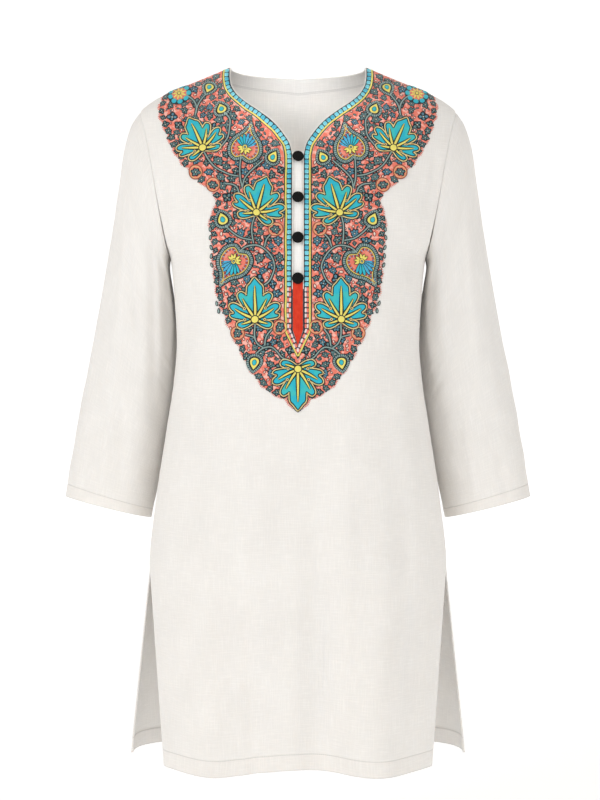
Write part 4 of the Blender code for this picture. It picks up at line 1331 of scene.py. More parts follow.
class Work:
    """Stitched shapes, drawn in the front view and laid on the front together."""

    def __init__(self):
        self.x, self.z, self.height, self.grain = [], [], [], []
        self.faces, self.colours, self.count = [], [], 0

    def add(self, places, height, grain, faces, colour):
        places = np.asarray(places, float).reshape(-1, 2)
        self.x.append(places[:, 0])
        self.z.append(places[:, 1])
        self.height.append(np.broadcast_to(np.asarray(height, float).reshape(-1), len(places)))
        self.grain.append(np.asarray(grain, float).reshape(-1, 2))
        self.faces.append(np.asarray(faces) + self.count)
        self.colours.append(np.full(len(faces), COLOURS.index(colour)))
        self.count += len(places)

    def patch(self, hub, turn, shape, colour, low, rise=0.45, out=0.0, foot=None):
        """A filled shape about its hub; turn is from straight up towards +x, in degrees."""
        if out:
            shape = shape + outward(shape) * out
        count = max(2, math.ceil(np.hypot(*shape.T).max() / RING_PITCH))
        shares = np.linspace(0, 1, count + 1) ** (0.7 if rise else 1.0)
        local = np.concatenate([shape * share for share in shares] + [shape])
        height = [*(low + rise * np.sqrt(1 - shares**4)), low - 0.5 if foot is None else foot]
        height = np.repeat(height, len(shape))
        self.add(hub + turned(local, turn), height, local, strips(count + 2, len(shape)), colour)

    def cord(self, path, width, colour, low, rise=0.5, closed=False, slant=0.6):
        """A ridge along a path; the width may differ from place to place."""
        path = np.asarray(path, float)
        if closed:
            ahead, behind = np.roll(path, -1, 0), np.roll(path, 1, 0)
            gone = np.cumsum(np.hypot(*(path - behind).T))
        else:
            ahead = np.concatenate([path[1:], path[-1:]])
            behind = np.concatenate([path[:1], path[:-1]])
            gone = travelled(*path.T)
        half = np.broadcast_to(width, len(path)) / 2
        side = left_of(unit(ahead - behind + NEARLY_0)) * half[:, None]
        share, crest = np.array(RIDGE).T[..., None]
        height = np.broadcast_to(low + rise * crest, (len(RIDGE), len(path)))
        grain = np.stack(np.broadcast_arrays(gone + share * slant, share), -1)
        faces = strips(len(RIDGE), len(path), around=closed)
        self.add(path + side * share[..., None], height, grain, faces, colour)

    def mirrored(self):
        """The same work for the other half, a little different, as handwork is."""
        x, z = np.concatenate(self.x), np.concatenate(self.z)
        other = Work()
        off = UNEVEN_HAND * wander(x, z, 91, length=38), UNEVEN_HAND * wander(x, z, 92, length=38)
        off = [value * np.minimum(1, x / 20) for value in off]
        other.x, other.z = [-x - off[0]], [z + off[1]]
        other.height, other.grain, other.faces = self.height[:], self.grain[:], self.faces[:]
        other.colours, other.count = self.colours[:], self.count
        return other

    def sew(self, name, slot="embroidery"):
        """Lays the work on the front as one piece."""
        x, z = np.concatenate(self.x), np.concatenate(self.z)
        z = np.minimum(z, shoulder_z(np.abs(x)) - 0.4)
        points = FRONT.place(x, z)
        normal = FRONT.normal(points)
        points = points + normal * np.concatenate(self.height)[:, None]
        faces, used = [], sorted(set(np.concatenate(self.colours)))
        for group in self.faces:
            corners = points[group]
            facing = np.cross(corners[:, 1] - corners[:, 0], corners[:, 2] - corners[:, 0])
            if group.shape[1] == 4:
                facing += np.cross(corners[:, 2] - corners[:, 0], corners[:, 3] - corners[:, 0])
            away = (facing * normal[group[:, 0]]).sum(-1) < 0
            faces += np.where(away[:, None], group[:, ::-1], group).tolist()
        indices = [used.index(colour) for colour in np.concatenate(self.colours)]
        materials = [THREADS[COLOURS[colour]] for colour in used]
        grain = np.concatenate(self.grain)
        make(name, points, faces, materials, (), grain, indices, sharp=70, closed=False)


print("a cord is a ridge of", len(RIDGE), "rows of points")

# %% [markdown]
# The motifs are put together from drops, ovals and bowed lines. Each is drawn upright about
# its own middle, and then turned and moved to its place.
# %% Simple shapes
def turned(local, degrees):
    """Local places, whose second number is towards the tip, turned from straight up."""
    sine, cosine = math.sin(math.radians(degrees)), math.cos(math.radians(degrees))
    across, up = local[:, 0], local[:, 1]
    return np.stack([across * cosine + up * sine, up * cosine - across * sine], -1)


def spoke(hub, reach, *turns):
    """The place a reach away from a hub; its turns from straight up add up."""
    place = np.array([[0, reach]])
    for turn in turns:
        place = turned(place, turn)
    return hub + place[0]


def stop(place, gone, x, z):
    """The place reached a way down a path of x and z, whose length so far is gone."""
    return np.array([np.interp(place, gone, x), np.interp(place, gone, z)])


def disc(radius, count):
    return oval(radius, radius, count)


def pointed(half_width, half_height, count=22, sharp=1.3):
    """A drop whose upper end is a true point."""
    t = np.linspace(0, math.tau, count, endpoint=False)
    across = np.sin(t) * np.abs(np.sin(t / 2)) ** sharp
    return np.stack([half_width * across / np.abs(across).max(), half_height * np.cos(t)], -1)


def oval(half_width, half_height, count=12, point=0.0):
    """An oval; point draws its upper end out to a tip."""
    t = np.linspace(0, math.tau, count, endpoint=False)
    up = np.cos(t)
    across = half_width * np.sin(t) * (1 - point * np.maximum(0, up))
    return np.stack([across, half_height * up], -1)


def bowed(stations, pitch=1.6):
    """A smooth path through a few places, with a point every pitch or so."""
    stations = np.asarray(stations, float)
    start, end = 2 * stations[:1] - stations[1:2], 2 * stations[-1:] - stations[-2:-1]
    ends = np.concatenate([start, stations, end])
    path = []
    for before, first, last, after in zip(ends, ends[1:], ends[2:], ends[3:]):
        steps = max(2, round(np.hypot(*(last - first)) / pitch))
        squared = 2 * before - 5 * first + 4 * last - after
        cubed = 3 * first - before - 3 * last + after
        for t in np.arange(steps) / steps:
            path.append(0.5 * (2 * first + (last - before) * t + squared * t**2 + cubed * t**3))
    return np.array([*path, stations[-1]])


def aim(hub, tip):
    """The turn from straight up, in degrees, and the reach from a hub to its tip."""
    across, up = tip[0] - hub[0], tip[1] - hub[1]
    return math.degrees(math.atan2(across, up)), math.hypot(across, up)


print("a disc has", len(disc(1, 12)), "points and a drop", len(pointed(1, 2)))

# %% [markdown]
# ## Leaves
# The large leaf is drawn about its hub: for each direction away from the tip, a share of
# its reach. Notches and curled lobes come from the numbers alone. Over a dark base lie an
# ochre cord, the turquoise filling and tapering yellow veins.
# %% Draw a leaf
LEAF_TURNS = (0, 7, 13, 17, 20, 24, 29, 34, 38, 41, 44, 47, 51, 56, 61, 66, 71, 75, 80, 85,
              89, 92, 96, 101, 108, 116, 124, 133, 142, 160, 180)
LEAF_REACH = (1.0, 0.87, 0.80, 0.66, 0.59, 0.66, 0.73, 0.72, 0.65, 0.46, 0.34, 0.355, 0.56,
              0.65, 0.68, 0.64, 0.52, 0.52, 0.60, 0.55, 0.33, 0.20, 0.23, 0.39, 0.43, 0.42,
              0.37, 0.25, 0.13, 0.08, 0.07)
leaf_reach = smooth(LEAF_TURNS, LEAF_REACH)
VEINS = ((0, 0.80, 3.1), (31, 0.57, 2.7), (-31, 0.57, 2.7), (62, 0.54, 2.7), (-62, 0.54, 2.7),
         (109, 0.33, 2.4), (-109, 0.33, 2.4))
CURLS = ((44.5, 0.365), (-44.5, 0.365), (91, 0.235), (-91, 0.235))


def both_sides(angles, radius, width=1.0, foot=()):
    """A closed shape from one side of it, and what lies in the middle at its foot."""
    sine, cosine = np.sin(np.radians(angles)), np.cos(np.radians(angles))
    right = np.stack([sine * radius * width, cosine * radius], -1)
    return np.concatenate([right, *foot, right[:0:-1] * (-1, 1)])


def leaf_shape(reach, width=1.0):
    angles = np.concatenate([np.arange(0, 90, 1.5), np.arange(90, 180, 3.0)])
    return both_sides(angles, leaf_reach(angles) * reach, width)


def leaf(work, hub, tip, width=1.0):
    turn, reach = aim(hub, tip)
    shape = leaf_shape(reach, width)
    work.patch(hub, turn, shape, "dark", 1.3, rise=0, out=2.9, foot=FOOT)
    rim = hub + turned(shape + outward(shape) * 1.2, turn)
    work.cord(rim, 1.35, "gold", 1.42, 0.4, closed=True)
    work.patch(hub, turn, shape, "turquoise", 1.42, rise=0.3, out=-0.75)
    for angle, share in CURLS:
        curl = spoke(hub, share * reach, angle, turn)
        work.patch(curl, 0, disc(2.3, 12), "dark", 1.84, rise=0)
        work.cord(curl + disc(1.3, 12), 1.1, "gold", 1.9, 0.3, closed=True)
    for angle, share, thick in VEINS:
        end = share * reach
        line = np.stack([np.zeros(9), np.linspace(3.0, end, 9)], -1)
        line[:, 0] += 0.025 * end * np.sin(np.linspace(0, math.pi, 9)) * np.sign(angle)
        line = turned(line, angle) * (width, 1)
        taper = np.interp(np.linspace(0, 1, 9), (0, 0.2, 0.8, 1), (0.6, 1, 0.62, 0.25))
        path = hub + turned(line, turn)
        work.cord(path, (thick + 2.4) * taper + 0.5, "dark", 2.05, 0.1)
        work.cord(path, thick * taper, "yellow", 2.22, 0.3)
    work.patch(hub, turn, disc(5.0, 16), "dark", 2.56, rise=0)
    work.patch(hub, turn, disc(3.9, 16), "yellow", 2.6, rise=0.5)


print("a leaf has", len(leaf_shape(50)), "points round its edge")

# %% [markdown]
# ## Hearts, drops and rosettes
# The heart is a band of short stitches round a fan of blue petals, with a few yellow ones
# under it.
# %% Draw a heart
HEART_TURNS = (0, 10, 20, 35, 60, 90, 120, 150, 165, 180)
HEART_REACH = (1.0, 0.80, 0.66, 0.60, 0.60, 0.62, 0.64, 0.60, 0.52, 0.42)
HEART_SIZE = 31  # mm, the reach for which the petals are drawn
heart_reach = smooth(HEART_TURNS, HEART_REACH)


def heart_shape(reach):
    angles, low = np.arange(0, 180, 4.0), [[0, -HEART_REACH[-1] * reach]]
    return both_sides(angles, heart_reach(angles) * reach, foot=[low])


def ticks(work, path, length, pitch, thick, colour, low, start=0.0):
    """Short stitches across a closed path."""
    around = np.concatenate([path, path[:1]])
    gone = travelled(*around.T)
    count = max(3, round(gone[-1] / pitch))
    for place in (np.arange(count) + start) * gone[-1] / count:
        spot = stop(place, gone, *around.T)
        i = min(np.searchsorted(gone, place, "right") - 1, len(path) - 1)
        across = left_of(unit(around[i + 1] - around[i] + NEARLY_0)) * length / 2
        work.cord([spot - across, spot, spot + across], thick, colour, low, 0.22)


def heart(work, hub, tip):
    turn, reach = aim(hub, tip)
    shape = heart_shape(reach)
    inner, middle, rim = (
        hub + turned(shape - outward(shape) * inset, turn) for inset in (7.6, 5.4, 2.3)
    )
    work.patch(hub, turn, shape, "dark", 1.35, rise=0, out=0.6, foot=FOOT)
    work.patch(hub, turn, shape, "coral", 1.42, rise=0.1, out=-6.0)
    work.cord(middle, 1.0, "yellow", 1.5, 0.3, closed=True)
    for start, colour in ((0.0, "red"), (0.33, "dark"), (0.66, "blue")):
        ticks(work, inner, 2.6, 4.5, 1.0, colour, 1.5, start)
    work.cord(rim, 3.3, "slate", 1.42, 0.25, closed=True)
    ticks(work, rim, 3.0, 2.4, 0.55, "ash", 1.62)
    scale = reach / HEART_SIZE
    for count, angle in enumerate((-57, 57, -38, 38, -19, 19, 0)):
        tall = 6.0 * scale * (1.1 - 0.004 * abs(angle))
        place, lean = spoke(hub, tall + 2.4 * scale, angle, turn), turn + angle * 0.93
        petal = (pointed(1.35 * scale, tall, 14, 0.7) * (1, -1))[::-1]
        height, colour = 1.5 + 0.13 * count, ("blue", "turquoise")[count % 2]
        work.patch(place, lean, petal, "dark", height, rise=0, out=0.75)
        work.patch(place, lean, petal, colour, height + 0.05, rise=0.06)
    for angle in (-100, -128, -158, 100, 128, 158):
        place, petal = spoke(hub, 5.2 * scale, angle, turn), pointed(1.3, 3.1, 12, 0.6)
        work.patch(place, turn + angle, petal, "dark", 2.3, rise=0, out=0.6)
        work.patch(place, turn + angle, petal, "yellow", 2.36, rise=0.3)
    work.patch(hub, turn, oval(3.2, 3.4, 14), "dark", 2.42, rise=0)
    work.cord(hub + turned(oval(2.1, 2.3, 14), turn), 1.3, "yellow", 2.5, 0.35, closed=True)
    work.patch(hub, turn, oval(0.9, 1.0, 8), "stem", 2.5, rise=0.3)


print("a heart has", len(heart_shape(HEART_SIZE)), "points round its edge")

# %% [markdown]
# The drop has a yellow and a turquoise core. Rosettes are slate petals round a dot on a
# dark base, and fill the ground between the larger forms, with loops and seeds in what is
# left over.
# %% Draw the other motifs
def drop(work, hub, turn, size=1.0):
    """A drop with a yellow and a turquoise core in a ring of short stitches."""
    for shape, colour, low, rise in (
        (pointed(11.2, 12.6, 30, 0.75), "dark", 1.3, 0),
        (pointed(6.6, 8.2), "dark", 1.62, 0),
        (pointed(5.7, 7.2), "yellow", 1.7, 0.35),
        (oval(3.2, 3.7, 14, 0.3) - (0, 1.5), "dark", 2.1, 0),
        (oval(2.6, 3.1, 14, 0.3) - (0, 1.5), "turquoise", 2.14, 0.35),
    ):
        work.patch(hub, turn, shape * size, colour, low, rise, foot=FOOT if low < 1.5 else None)
    ring = hub + turned(pointed(9.0 * size, 10.4 * size, 30, 0.75), turn)
    work.cord(ring, 2.5 * size, "slate", 1.4, 0.2, closed=True)
    ticks(work, ring, 2.9 * size, 2.3, 0.55, "ash", 1.58)


def rosette(work, hub, radius, turn, petals=5, colour="slate", low=0.95):
    """Petals round a dot on a dark base; no two petals are alike, as in quick handwork."""
    odd = np.sin(hub[0] * 7.1 + hub[1] * 3.3 + np.arange(petals) * 2.4)
    t = np.linspace(0, math.tau, petals * 4, endpoint=False)
    uneven = 1 + 0.20 * np.append(odd, odd[0])
    reach = np.interp(t / math.tau * petals, np.arange(petals + 1), uneven)
    lobed = radius * (0.95 + 0.16 * np.cos(petals * t)) * reach
    base = np.stack([lobed * np.sin(t), lobed * np.cos(t)], -1)
    work.patch(hub, turn, base, "dark", low, rise=0, foot=FOOT)
    for i in range(petals):
        angle = turn + 360 * i / petals
        place = spoke(hub, radius * 0.52 * (1 + 0.20 * odd[i]), angle)
        petal = oval(radius * (0.23 + 0.03 * odd[i]), radius * (0.30 + 0.07 * odd[i]), 7)
        work.patch(place, angle + 9 * odd[i], petal, colour, low + 0.06, rise=0.28)
    work.patch(hub, turn, disc(radius * 0.14, 6), "pale", low + 0.1, rise=0.25)


def seed(work, hub, length, turn, low=0.95, core="stem"):
    husk = oval(length * 0.28, length / 2, 9, 0.3)
    work.patch(hub, turn, husk, "dark", low, rise=0, foot=low - 0.6)
    kernel = oval(length * 0.17, length * 0.35, 7, 0.3)
    work.patch(hub, turn, kernel, core, low + 0.05, rise=0.25)


def sprig(work, hub, length, turn, bend):
    """A thin curved stem with a seed at its end."""
    gone = np.linspace(0, 1, 6)
    local = np.stack([bend * length * gone**2, length * gone], -1)
    path = hub + turned(local, turn)
    work.cord(path, 1.3, "dark", 0.86, 0.3)
    seed(work, path[-1], 4.4, turn + math.degrees(math.atan(2 * bend)), low=0.98, core="slate")


def loop(work, hub, length, turn, low=0.95):
    shape = oval(length * 0.3, length / 2, 8)
    work.patch(hub, turn, shape, "dark", low - 0.02, rise=0, out=0.55, foot=low - 0.5)
    work.patch(hub, turn, oval(length * 0.25, length * 0.42, 7), "pale", low + 0.03, rise=0.1)
    work.cord(hub + turned(shape, turn), 0.85, "red", low + 0.05, 0.3, closed=True)


def roundel(work, hub, radius):
    work.patch(hub, 0, disc(radius, 26), "coral", 1.15, rise=0, foot=FOOT)
    work.cord(hub + disc(radius - 0.5, 26), 1.2, "brown", 1.25, 0.4, closed=True)
    work.cord(hub + disc(radius - 2.1, 26), 0.8, "gold", 1.2, 0.3, closed=True)
    rosette(work, hub, radius * 0.66, 20, 6, low=1.3)


def vine(work, stations):
    path = bowed(stations)
    work.cord(path, 4.1, "dark", 1.22, 0.2)
    work.cord(path, 1.7, "stem", 1.42, 0.35)


def flower(work, hub, radius, turn):
    """The round bloom that lies over the shoulder."""
    work.patch(hub, turn, disc(radius, 28), "dark", 1.35, rise=0, foot=FOOT)
    work.patch(hub, turn, disc(radius * 0.62, 20), "coral", 1.4, rise=0)
    for angle in range(turn, turn + 360, 40):
        place, petal = spoke(hub, radius * 0.76, angle), oval(radius * 0.22, radius * 0.2, 10)
        work.patch(place, angle, petal, "turquoise", 1.45, rise=0.35)
        angle, petal = angle + 20, oval(radius * 0.08, radius * 0.22, 8, 0.4)
        work.patch(spoke(hub, radius * 0.36, angle), angle, petal, "yellow", 1.5, rise=0.3)
    work.patch(hub, turn, disc(radius * 0.17, 12), "dark", 1.6, rise=0)
    work.patch(hub, turn, disc(radius * 0.13, 12), "yellow", 1.65, rise=0.4)


print("drop, rosette, seed, sprig, loop, roundel, vine and flower")

# %% [markdown]
# ## The large motifs
# The yoke is composed as a pattern drawer would: leaves first, then hearts and drops, and
# vines that join them. One half is drawn and then mirrored, with small differences.
# %% Lay out leaves, hearts, drops and vines
LEAVES = (
    ((115.0, -111.0), (132.5, -72.0), 1.12),
    ((49.5, -192.6), (37.5, -149.0), 1.12),
    ((51.2, -319.5), (51.0, -270.5), 1.0),
)
HEARTS = (((63.6, -112.0), (55.5, -78.0)), ((75.5, -250.5), (94.0, -281.5)))
DROPS = (((110, -32.4), 160, 0.92), ((93.4, -60.6), 22, 0.95), ((29.8, -123.5), -28, 0.92),
         ((89.5, -199.0), 22, 1.0), ((51.9, -372.5), 172, 0.95))
ROUNDELS = ((123.3, -140.2), (102.0, -157.0), (26.1, -212.3), (71.6, -336.0), (21.5, -329.1))
SHOULDER_BLOOM = (147, -37)
VINES = (
    ((113, -116), (101, -134), (84, -144), (71, -147)),
    ((68, -121), (69, -132), (69, -150), (66, -162)),
    ((42, -128), (57, -142), (64, -151), (66, -160)),
    ((90, -66), (83, -74), (82, -83), (84, -96), (90, -105), (96, -112)),
    ((113, -40), (121, -52), (124, -61), (125, -69)),
    ((138, -40), (130, -47), (125, -56), (124, -66)),
    ((87, -156), (79, -157), (73, -161), (70, -168)),
    ((86, -207), (77, -216), (67, -223), (55, -226)),
    ((52, -197), (54, -207), (54, -220), (53, -230)),
    ((70, -240), (62, -234), (49, -232), (39, -237), (32, -246), (28, -257), (31, -268),
     (35, -275), (40, -279)),
    ((32, -219), (37, -225), (40, -234)),
    ((51, -325), (51, -338), (48, -348), (41, -354)),
    ((31, -331), (37, -340), (39, -351)),
    ((50, -361), (42, -355), (32, -353), (25, -358), (19, -365), (11, -369)),
    ((62, -338), (52, -341), (49, -346)),
)
LOW_LEAF = ((0.0, -378.7), (0.0, -428.0), 1.0)


def large_motifs():
    work = Work()
    for stations in VINES:
        vine(work, stations)
    for hub in ROUNDELS:
        roundel(work, hub, 9.0)
    flower(work, SHOULDER_BLOOM, 15.5, 30)
    for hub, turn, size in DROPS:
        drop(work, hub, turn, size)
    for hub, tip in HEARTS:
        heart(work, hub, tip)
    for hub, tip, width in LEAVES:
        leaf(work, hub, tip, width)
    return work


motifs = large_motifs()
motifs.sew("yoke_motifs_left")
motifs.mirrored().sew("yoke_motifs_right")
low_leaf = Work()
leaf(low_leaf, *LOW_LEAF)
low_leaf.sew("yoke_low_leaf")
print(len(LEAVES) * 2 + 1, "leaves,", motifs.count, "points in half of the large motifs")

# %% [markdown]
# ## Filling the ground
# A small motif must lie on the ground, within its edges, and off the large ones. A leaf's
# or a heart's own reach in that direction tells whether a place is off it.
# %% Where there is room
ROUNDS = [*((hub, 10.0) for hub, *_ in DROPS), *((hub, 9.0) for hub in ROUNDELS),
          (SHOULDER_BLOOM, 14.5)]


def clear_of_motifs(x, z, margin):
    """Whether a place is off the leaves, hearts, drops, roundels and the bloom."""
    for rows, reach_at, room in (
        ((*LEAVES, LOW_LEAF), leaf_reach, margin), (HEARTS, heart_reach, margin * 0.8)
    ):
        for hub, tip, *_ in rows:
            turn, reach = aim(hub, tip)
            away, off = aim(hub, (x, z))
            angle = abs((away - turn + 180) % 360 - 180)
            if off < float(reach_at(angle)) * reach + room:
                return False
    return all(aim(hub, (x, z))[1] > radius + margin for hub, radius in ROUNDS)


def ring_of(margin):
    """The ground's edges as one closed ring, a margin within them."""
    share = np.linspace(0, 1, 240)
    outer = yoke_outer(share, -margin)
    inner = border_edge(share, BORDER + BORDER_CLEAR + margin)
    return [np.concatenate([out, into[::-1]]) for out, into in zip(outer, inner)]


RINGS = {size / 2: ring_of(size / 2) for size in range(12)}


def inside_yoke(x, z, margin):
    """Whether a place is on the ground, a margin within its edges and under the shoulder."""
    if z > float(shoulder_z(x + margin)) - margin - 1.5:
        return False
    edge_x, edge_z = RINGS[round(margin * 2) / 2]
    next_x, next_z = np.roll(edge_x, -1), np.roll(edge_z, -1)
    with np.errstate(divide="ignore", invalid="ignore"):
        cross = edge_x + (z - edge_z) * (next_x - edge_x) / (next_z - edge_z)
    return int((((edge_z > z) != (next_z > z)) & (x < cross)).sum()) % 2 == 1


print(len(ROUNDS), "round motifs and", len(RINGS), "rings within the ground's edges")

# %% [markdown]
# Rosettes are thrown at random, but never onto one another nor onto a large motif. The seed
# is fixed, so that the same garment comes out each time. Then come loops and seeds, which
# are smaller and find room in the gaps.
# %% Scatter rosettes, loops and seeds
BARE = 0.7  # mm of ground left between two small motifs
EDGE_PITCH = 9.6  # mm from one rosette along the edge to the next
SCATTER_SEED = 5


def scatter(draw, count, sizes, taken, margin):
    """Places and sizes for up to count small motifs that keep clear of what is taken."""
    found = []
    for _ in range(count * 40):
        if len(found) == count:
            break
        x, z, radius = draw.uniform(0, 172), draw.uniform(-426, -4), draw.uniform(*sizes)
        if any((x - a) ** 2 + (z - b) ** 2 < (radius + c + BARE) ** 2 for a, b, c in taken):
            continue
        if not (inside_yoke(x, z, radius * margin) and clear_of_motifs(x, z, radius * 0.55)):
            continue
        found.append((x, z, radius))
        taken.append((x, z, radius))
    return found


def edge_row(work, draw, taken):
    """Rosettes along the outline, one in each scallop or so."""
    share = np.linspace(0, 1, 600)
    x, z = yoke_outer(share, -3.6)
    gone = travelled(x, z)
    for place in np.arange(EDGE_PITCH / 2, gone[-1] - 8, EDGE_PITCH):
        at = stop(place, gone, x, z)
        if clear_of_motifs(*at, 1.0):
            radius, turn = draw.uniform(3.6, 5.0), draw.uniform(0, 72)
            rosette(work, at, radius, turn, int(draw.integers(4, 7)))
            taken.append((*at, 4.0))


def small_motifs(seed_number):
    draw = np.random.default_rng(seed_number)
    work, taken = Work(), []
    edge_row(work, draw, taken)
    for x, z, radius in scatter(draw, 150, (3.8, 5.6), taken, 0.75):
        petals, colour = int(draw.integers(4, 8)), str(draw.choice(["slate", "slate", "steel"]))
        for _ in range(2):
            turn, length = draw.uniform(0, 360), radius + draw.uniform(2.0, 4.0)
            end = spoke((x, z), length + 2, turn)
            if inside_yoke(*end, 1.0) and clear_of_motifs(*end, 1.5):
                sprig(work, (x, z), length, turn, draw.uniform(-0.35, 0.35))
        size = radius * draw.uniform(1.06, 1.2)
        rosette(work, (x, z), size, draw.uniform(0, 90), petals, colour)
    for x, z, radius in scatter(draw, 130, (2.2, 3.2), taken, 0.8):
        kind, turn = draw.integers(3), draw.uniform(0, 360)
        if kind == 0:
            rosette(work, (x, z), radius * 1.15, turn, petals=4)
        elif kind == 1:
            seed(work, (x, z), radius * 2.2, turn, core="slate")
        else:
            loop(work, (x, z), radius * 1.9, turn)
    for x, z, radius in scatter(draw, 130, (1.2, 1.8), taken, 0.8):
        loop(work, (x, z), radius * 2.3, draw.uniform(0, 360))
    return work


small = small_motifs(SCATTER_SEED)
small.sew("yoke_rosettes_left")
small.mirrored().sew("yoke_rosettes_right")
print(small.count, "points in half of the small motifs")

# %% [markdown]
# ## The edge of the ground
# Short coral stitches run out over the edge and soften it. Beside the heart a row of seeds
# hangs off the edge onto the linen.
# %% Fringe and hanging seeds
FRINGE_PITCH = 2.1
FRINGE_SEED = 17
HANGING_SEEDS = ((104.5, -211), (105, -221), (104, -233), (103.5, -243), (102.5, -254),
                 (97, -300), (94.5, -309))


def fringe():
    work = Work()
    row = np.linspace(0.15, YOKE_ROWS - 0.2, 1400)
    x, z = yoke_outer(yoke_share(row), scallop(row))
    gone = travelled(x, z)
    draw = np.random.default_rng(FRINGE_SEED)
    for place in np.arange(1, gone[-1], FRINGE_PITCH):
        at = stop(place, gone, x, z)
        run = unit(stop(place + 0.5, gone, x, z) - at + NEARLY_0)
        out = left_of(run) + run * draw.uniform(-0.35, 0.35)
        reach = draw.uniform(0.5, 1.5)
        path = at + np.array([-1.8, -0.4, reach])[:, None] * out
        work.cord(path, (1.3, 1.1, 0.5), "coral", 0.35 if draw.random() < 0.85 else 0.4, 0.55)
    for hub in HANGING_SEEDS:
        seed(work, hub, 6.8, draw.uniform(-20, 20) + 8, low=1.0)
    return work


edge = fringe()
edge.sew("yoke_fringe_left")
edge.mirrored().sew("yoke_fringe_right")
print(edge.count, "points in half of the fringe")

# %% [markdown]
# ## The beaded border
# Along neck and opening runs a row of small square beads, turquoise down to the last
# button and half coral, half pale below it, and beside it a yellow cord. Each bead is a softly
# rounded square turned to the border's run.
# %% String the border
BEAD_LINE, BEAD, BEAD_PITCH = 4.35, 4.9, 6.2
CORD_LINE, CORD_WIDTH = 8.1, 2.2
BEADS = (  # name, thread, roughness, size of its patches, colour, other colour
    ("light", "light turquoise bead", 0.45, 2.0, (104, 200, 218), (170, 226, 234)),
    ("deep", "deep turquoise bead", 0.45, 2.0, (56, 170, 198), (120, 204, 220)),
    ("coral_bead", "coral bead", 0.5, 3.0, (238, 118, 100), (248, 170, 156)),
    ("white_bead", "pale bead", 0.5, 3.0, (236, 214, 210), (204, 220, 230)),
)
for name, full_name, roughness, patches, *colours in BEADS:
    THREADS[name] = thread(full_name, *colours, 0.5, roughness, patches)
COLOURS = list(THREADS)


def squarish(half, count=16, power=5.0):
    t = np.linspace(0, math.tau, count, endpoint=False) + math.pi / count
    reach = half / (np.abs(np.cos(t)) ** power + np.abs(np.sin(t)) ** power) ** (1 / power)
    return np.stack([reach * np.sin(t), reach * np.cos(t)], -1)


def border_line(width, count=900):
    share = np.linspace(0, 1, count)
    x, z = border_edge(share, width)
    z = np.minimum(z, shoulder_z(x) - 0.6)
    return np.stack([x, z], -1)


def border_work(draw):
    work = Work()
    path = border_line(BEAD_LINE)
    gone = travelled(*path.T)
    for place in np.arange(BEAD_PITCH * 0.5, gone[-1] - 1.5, BEAD_PITCH):
        at, later = (stop(way, gone, *path.T) for way in (place, place + 1))
        turn = aim(at, later)[0] + draw.uniform(-3, 3)
        tall = draw.uniform(0.98, 1.06)
        if at[1] < OPENING_END:
            names, wide = draw.permutation(["coral_bead", "white_bead"]), 0.48
            places = [at + turned(np.array([[off, 0]]), turn)[0] for off in (-BEAD / 4, BEAD / 4)]
        else:
            names, wide, places = [draw.choice(("light", "light", "deep"))], 1, [at]
        for spot, name in zip(places, names):
            shape = squarish(BEAD / 2) * (wide, tall)
            work.patch(spot, turn, shape, str(name), 1.0, rise=0.6, foot=0.7)
    work.cord(border_line(CORD_LINE)[::4], CORD_WIDTH, "yellow", 0.95, 0.65, slant=1.1)
    work.cord(border_line(CORD_LINE + 1.6)[::4], 0.9, "dark", 0.85, 0.3)
    return work


for hand, number in (("left", 31), ("right", 32)):
    work = border_work(np.random.default_rng(number))
    (work if hand == "left" else work.mirrored()).sew(f"border_beads_{hand}", slot="border")
print(work.count, "points in half of the border")

# %% [markdown]
# ## The buttons
# Each button is a dome covered in black cloth, gathered under its rim. It sits on its shank
# through the opening. A turned profile with many points gives the soft shoulder, and the
# weave of the covering cloth is a bump.
# %% Turn the buttons
BUTTON_SIDES = 40
COVERED = (
    (0.0, 0.0), (3.1, 0.0), (3.1, 0.5), (5.7, 0.4), (6.5, 0.55), (6.92, 0.95), (7.0, 1.4),
    (6.76, 1.95), (6.3, 2.45), (5.5, 3.1), (4.3, 3.75), (2.9, 4.25), (1.5, 4.5), (0.5, 4.56),
)
BUTTON_FOOT = 1.5  # above the cloth
COVER_YARN = 0.55


def black_cloth():
    cover = Finish("black covering cloth", roughness=0.65, sheen=0.03)
    across, around = cover.grain()
    weave = (across * (math.pi / COVER_YARN)).sine() * (around * (math.pi / COVER_YARN)).sine()
    worn = cover.noise(across / 2.0, around / 2.0, 2.0).between(0.4, 0.7)
    cover.feed(Base_Color=cover.mix(worn, shade(4, 4, 5), shade(13, 13, 15)))
    cover.bump(weave * 0.5 + 0.5, 0.16)
    cover.feed(Specular_IOR_Level=0.15)
    return cover.material


def button(name, node, z):
    point = FRONT.place(0.0, z)
    out = FRONT.normal(point)
    sideways = unit(np.cross(np.array([0.0, 0, 1]), out))
    turn = np.linspace(0, math.tau, BUTTON_SIDES, endpoint=False)[:, None]
    around = sideways * np.cos(turn) + np.cross(out, sideways) * np.sin(turn)
    radius, height = np.array(COVERED).T[..., None, None]
    points = point + out * BUTTON_FOOT + radius * around + height * out
    faces = strips(len(COVERED), BUTTON_SIDES).tolist()
    faces += [list(range(len(COVERED) * BUTTON_SIDES))[-BUTTON_SIDES:]]
    grain = radius * np.concatenate([np.cos(turn), np.sin(turn)], -1)
    flat = points.reshape(-1, 3), grain.reshape(-1, 2)
    make(name, flat[0], faces, [BLACK_CLOTH], [node], flat[1])


BLACK_CLOTH = black_cloth()
for count, z in enumerate(BUTTON_HEIGHTS, 1):
    button(f"covered_button_{count}", f"button_{count}", z)
print(len(BUTTON_HEIGHTS), "buttons of", 2 * max(COVERED)[0], "mm")

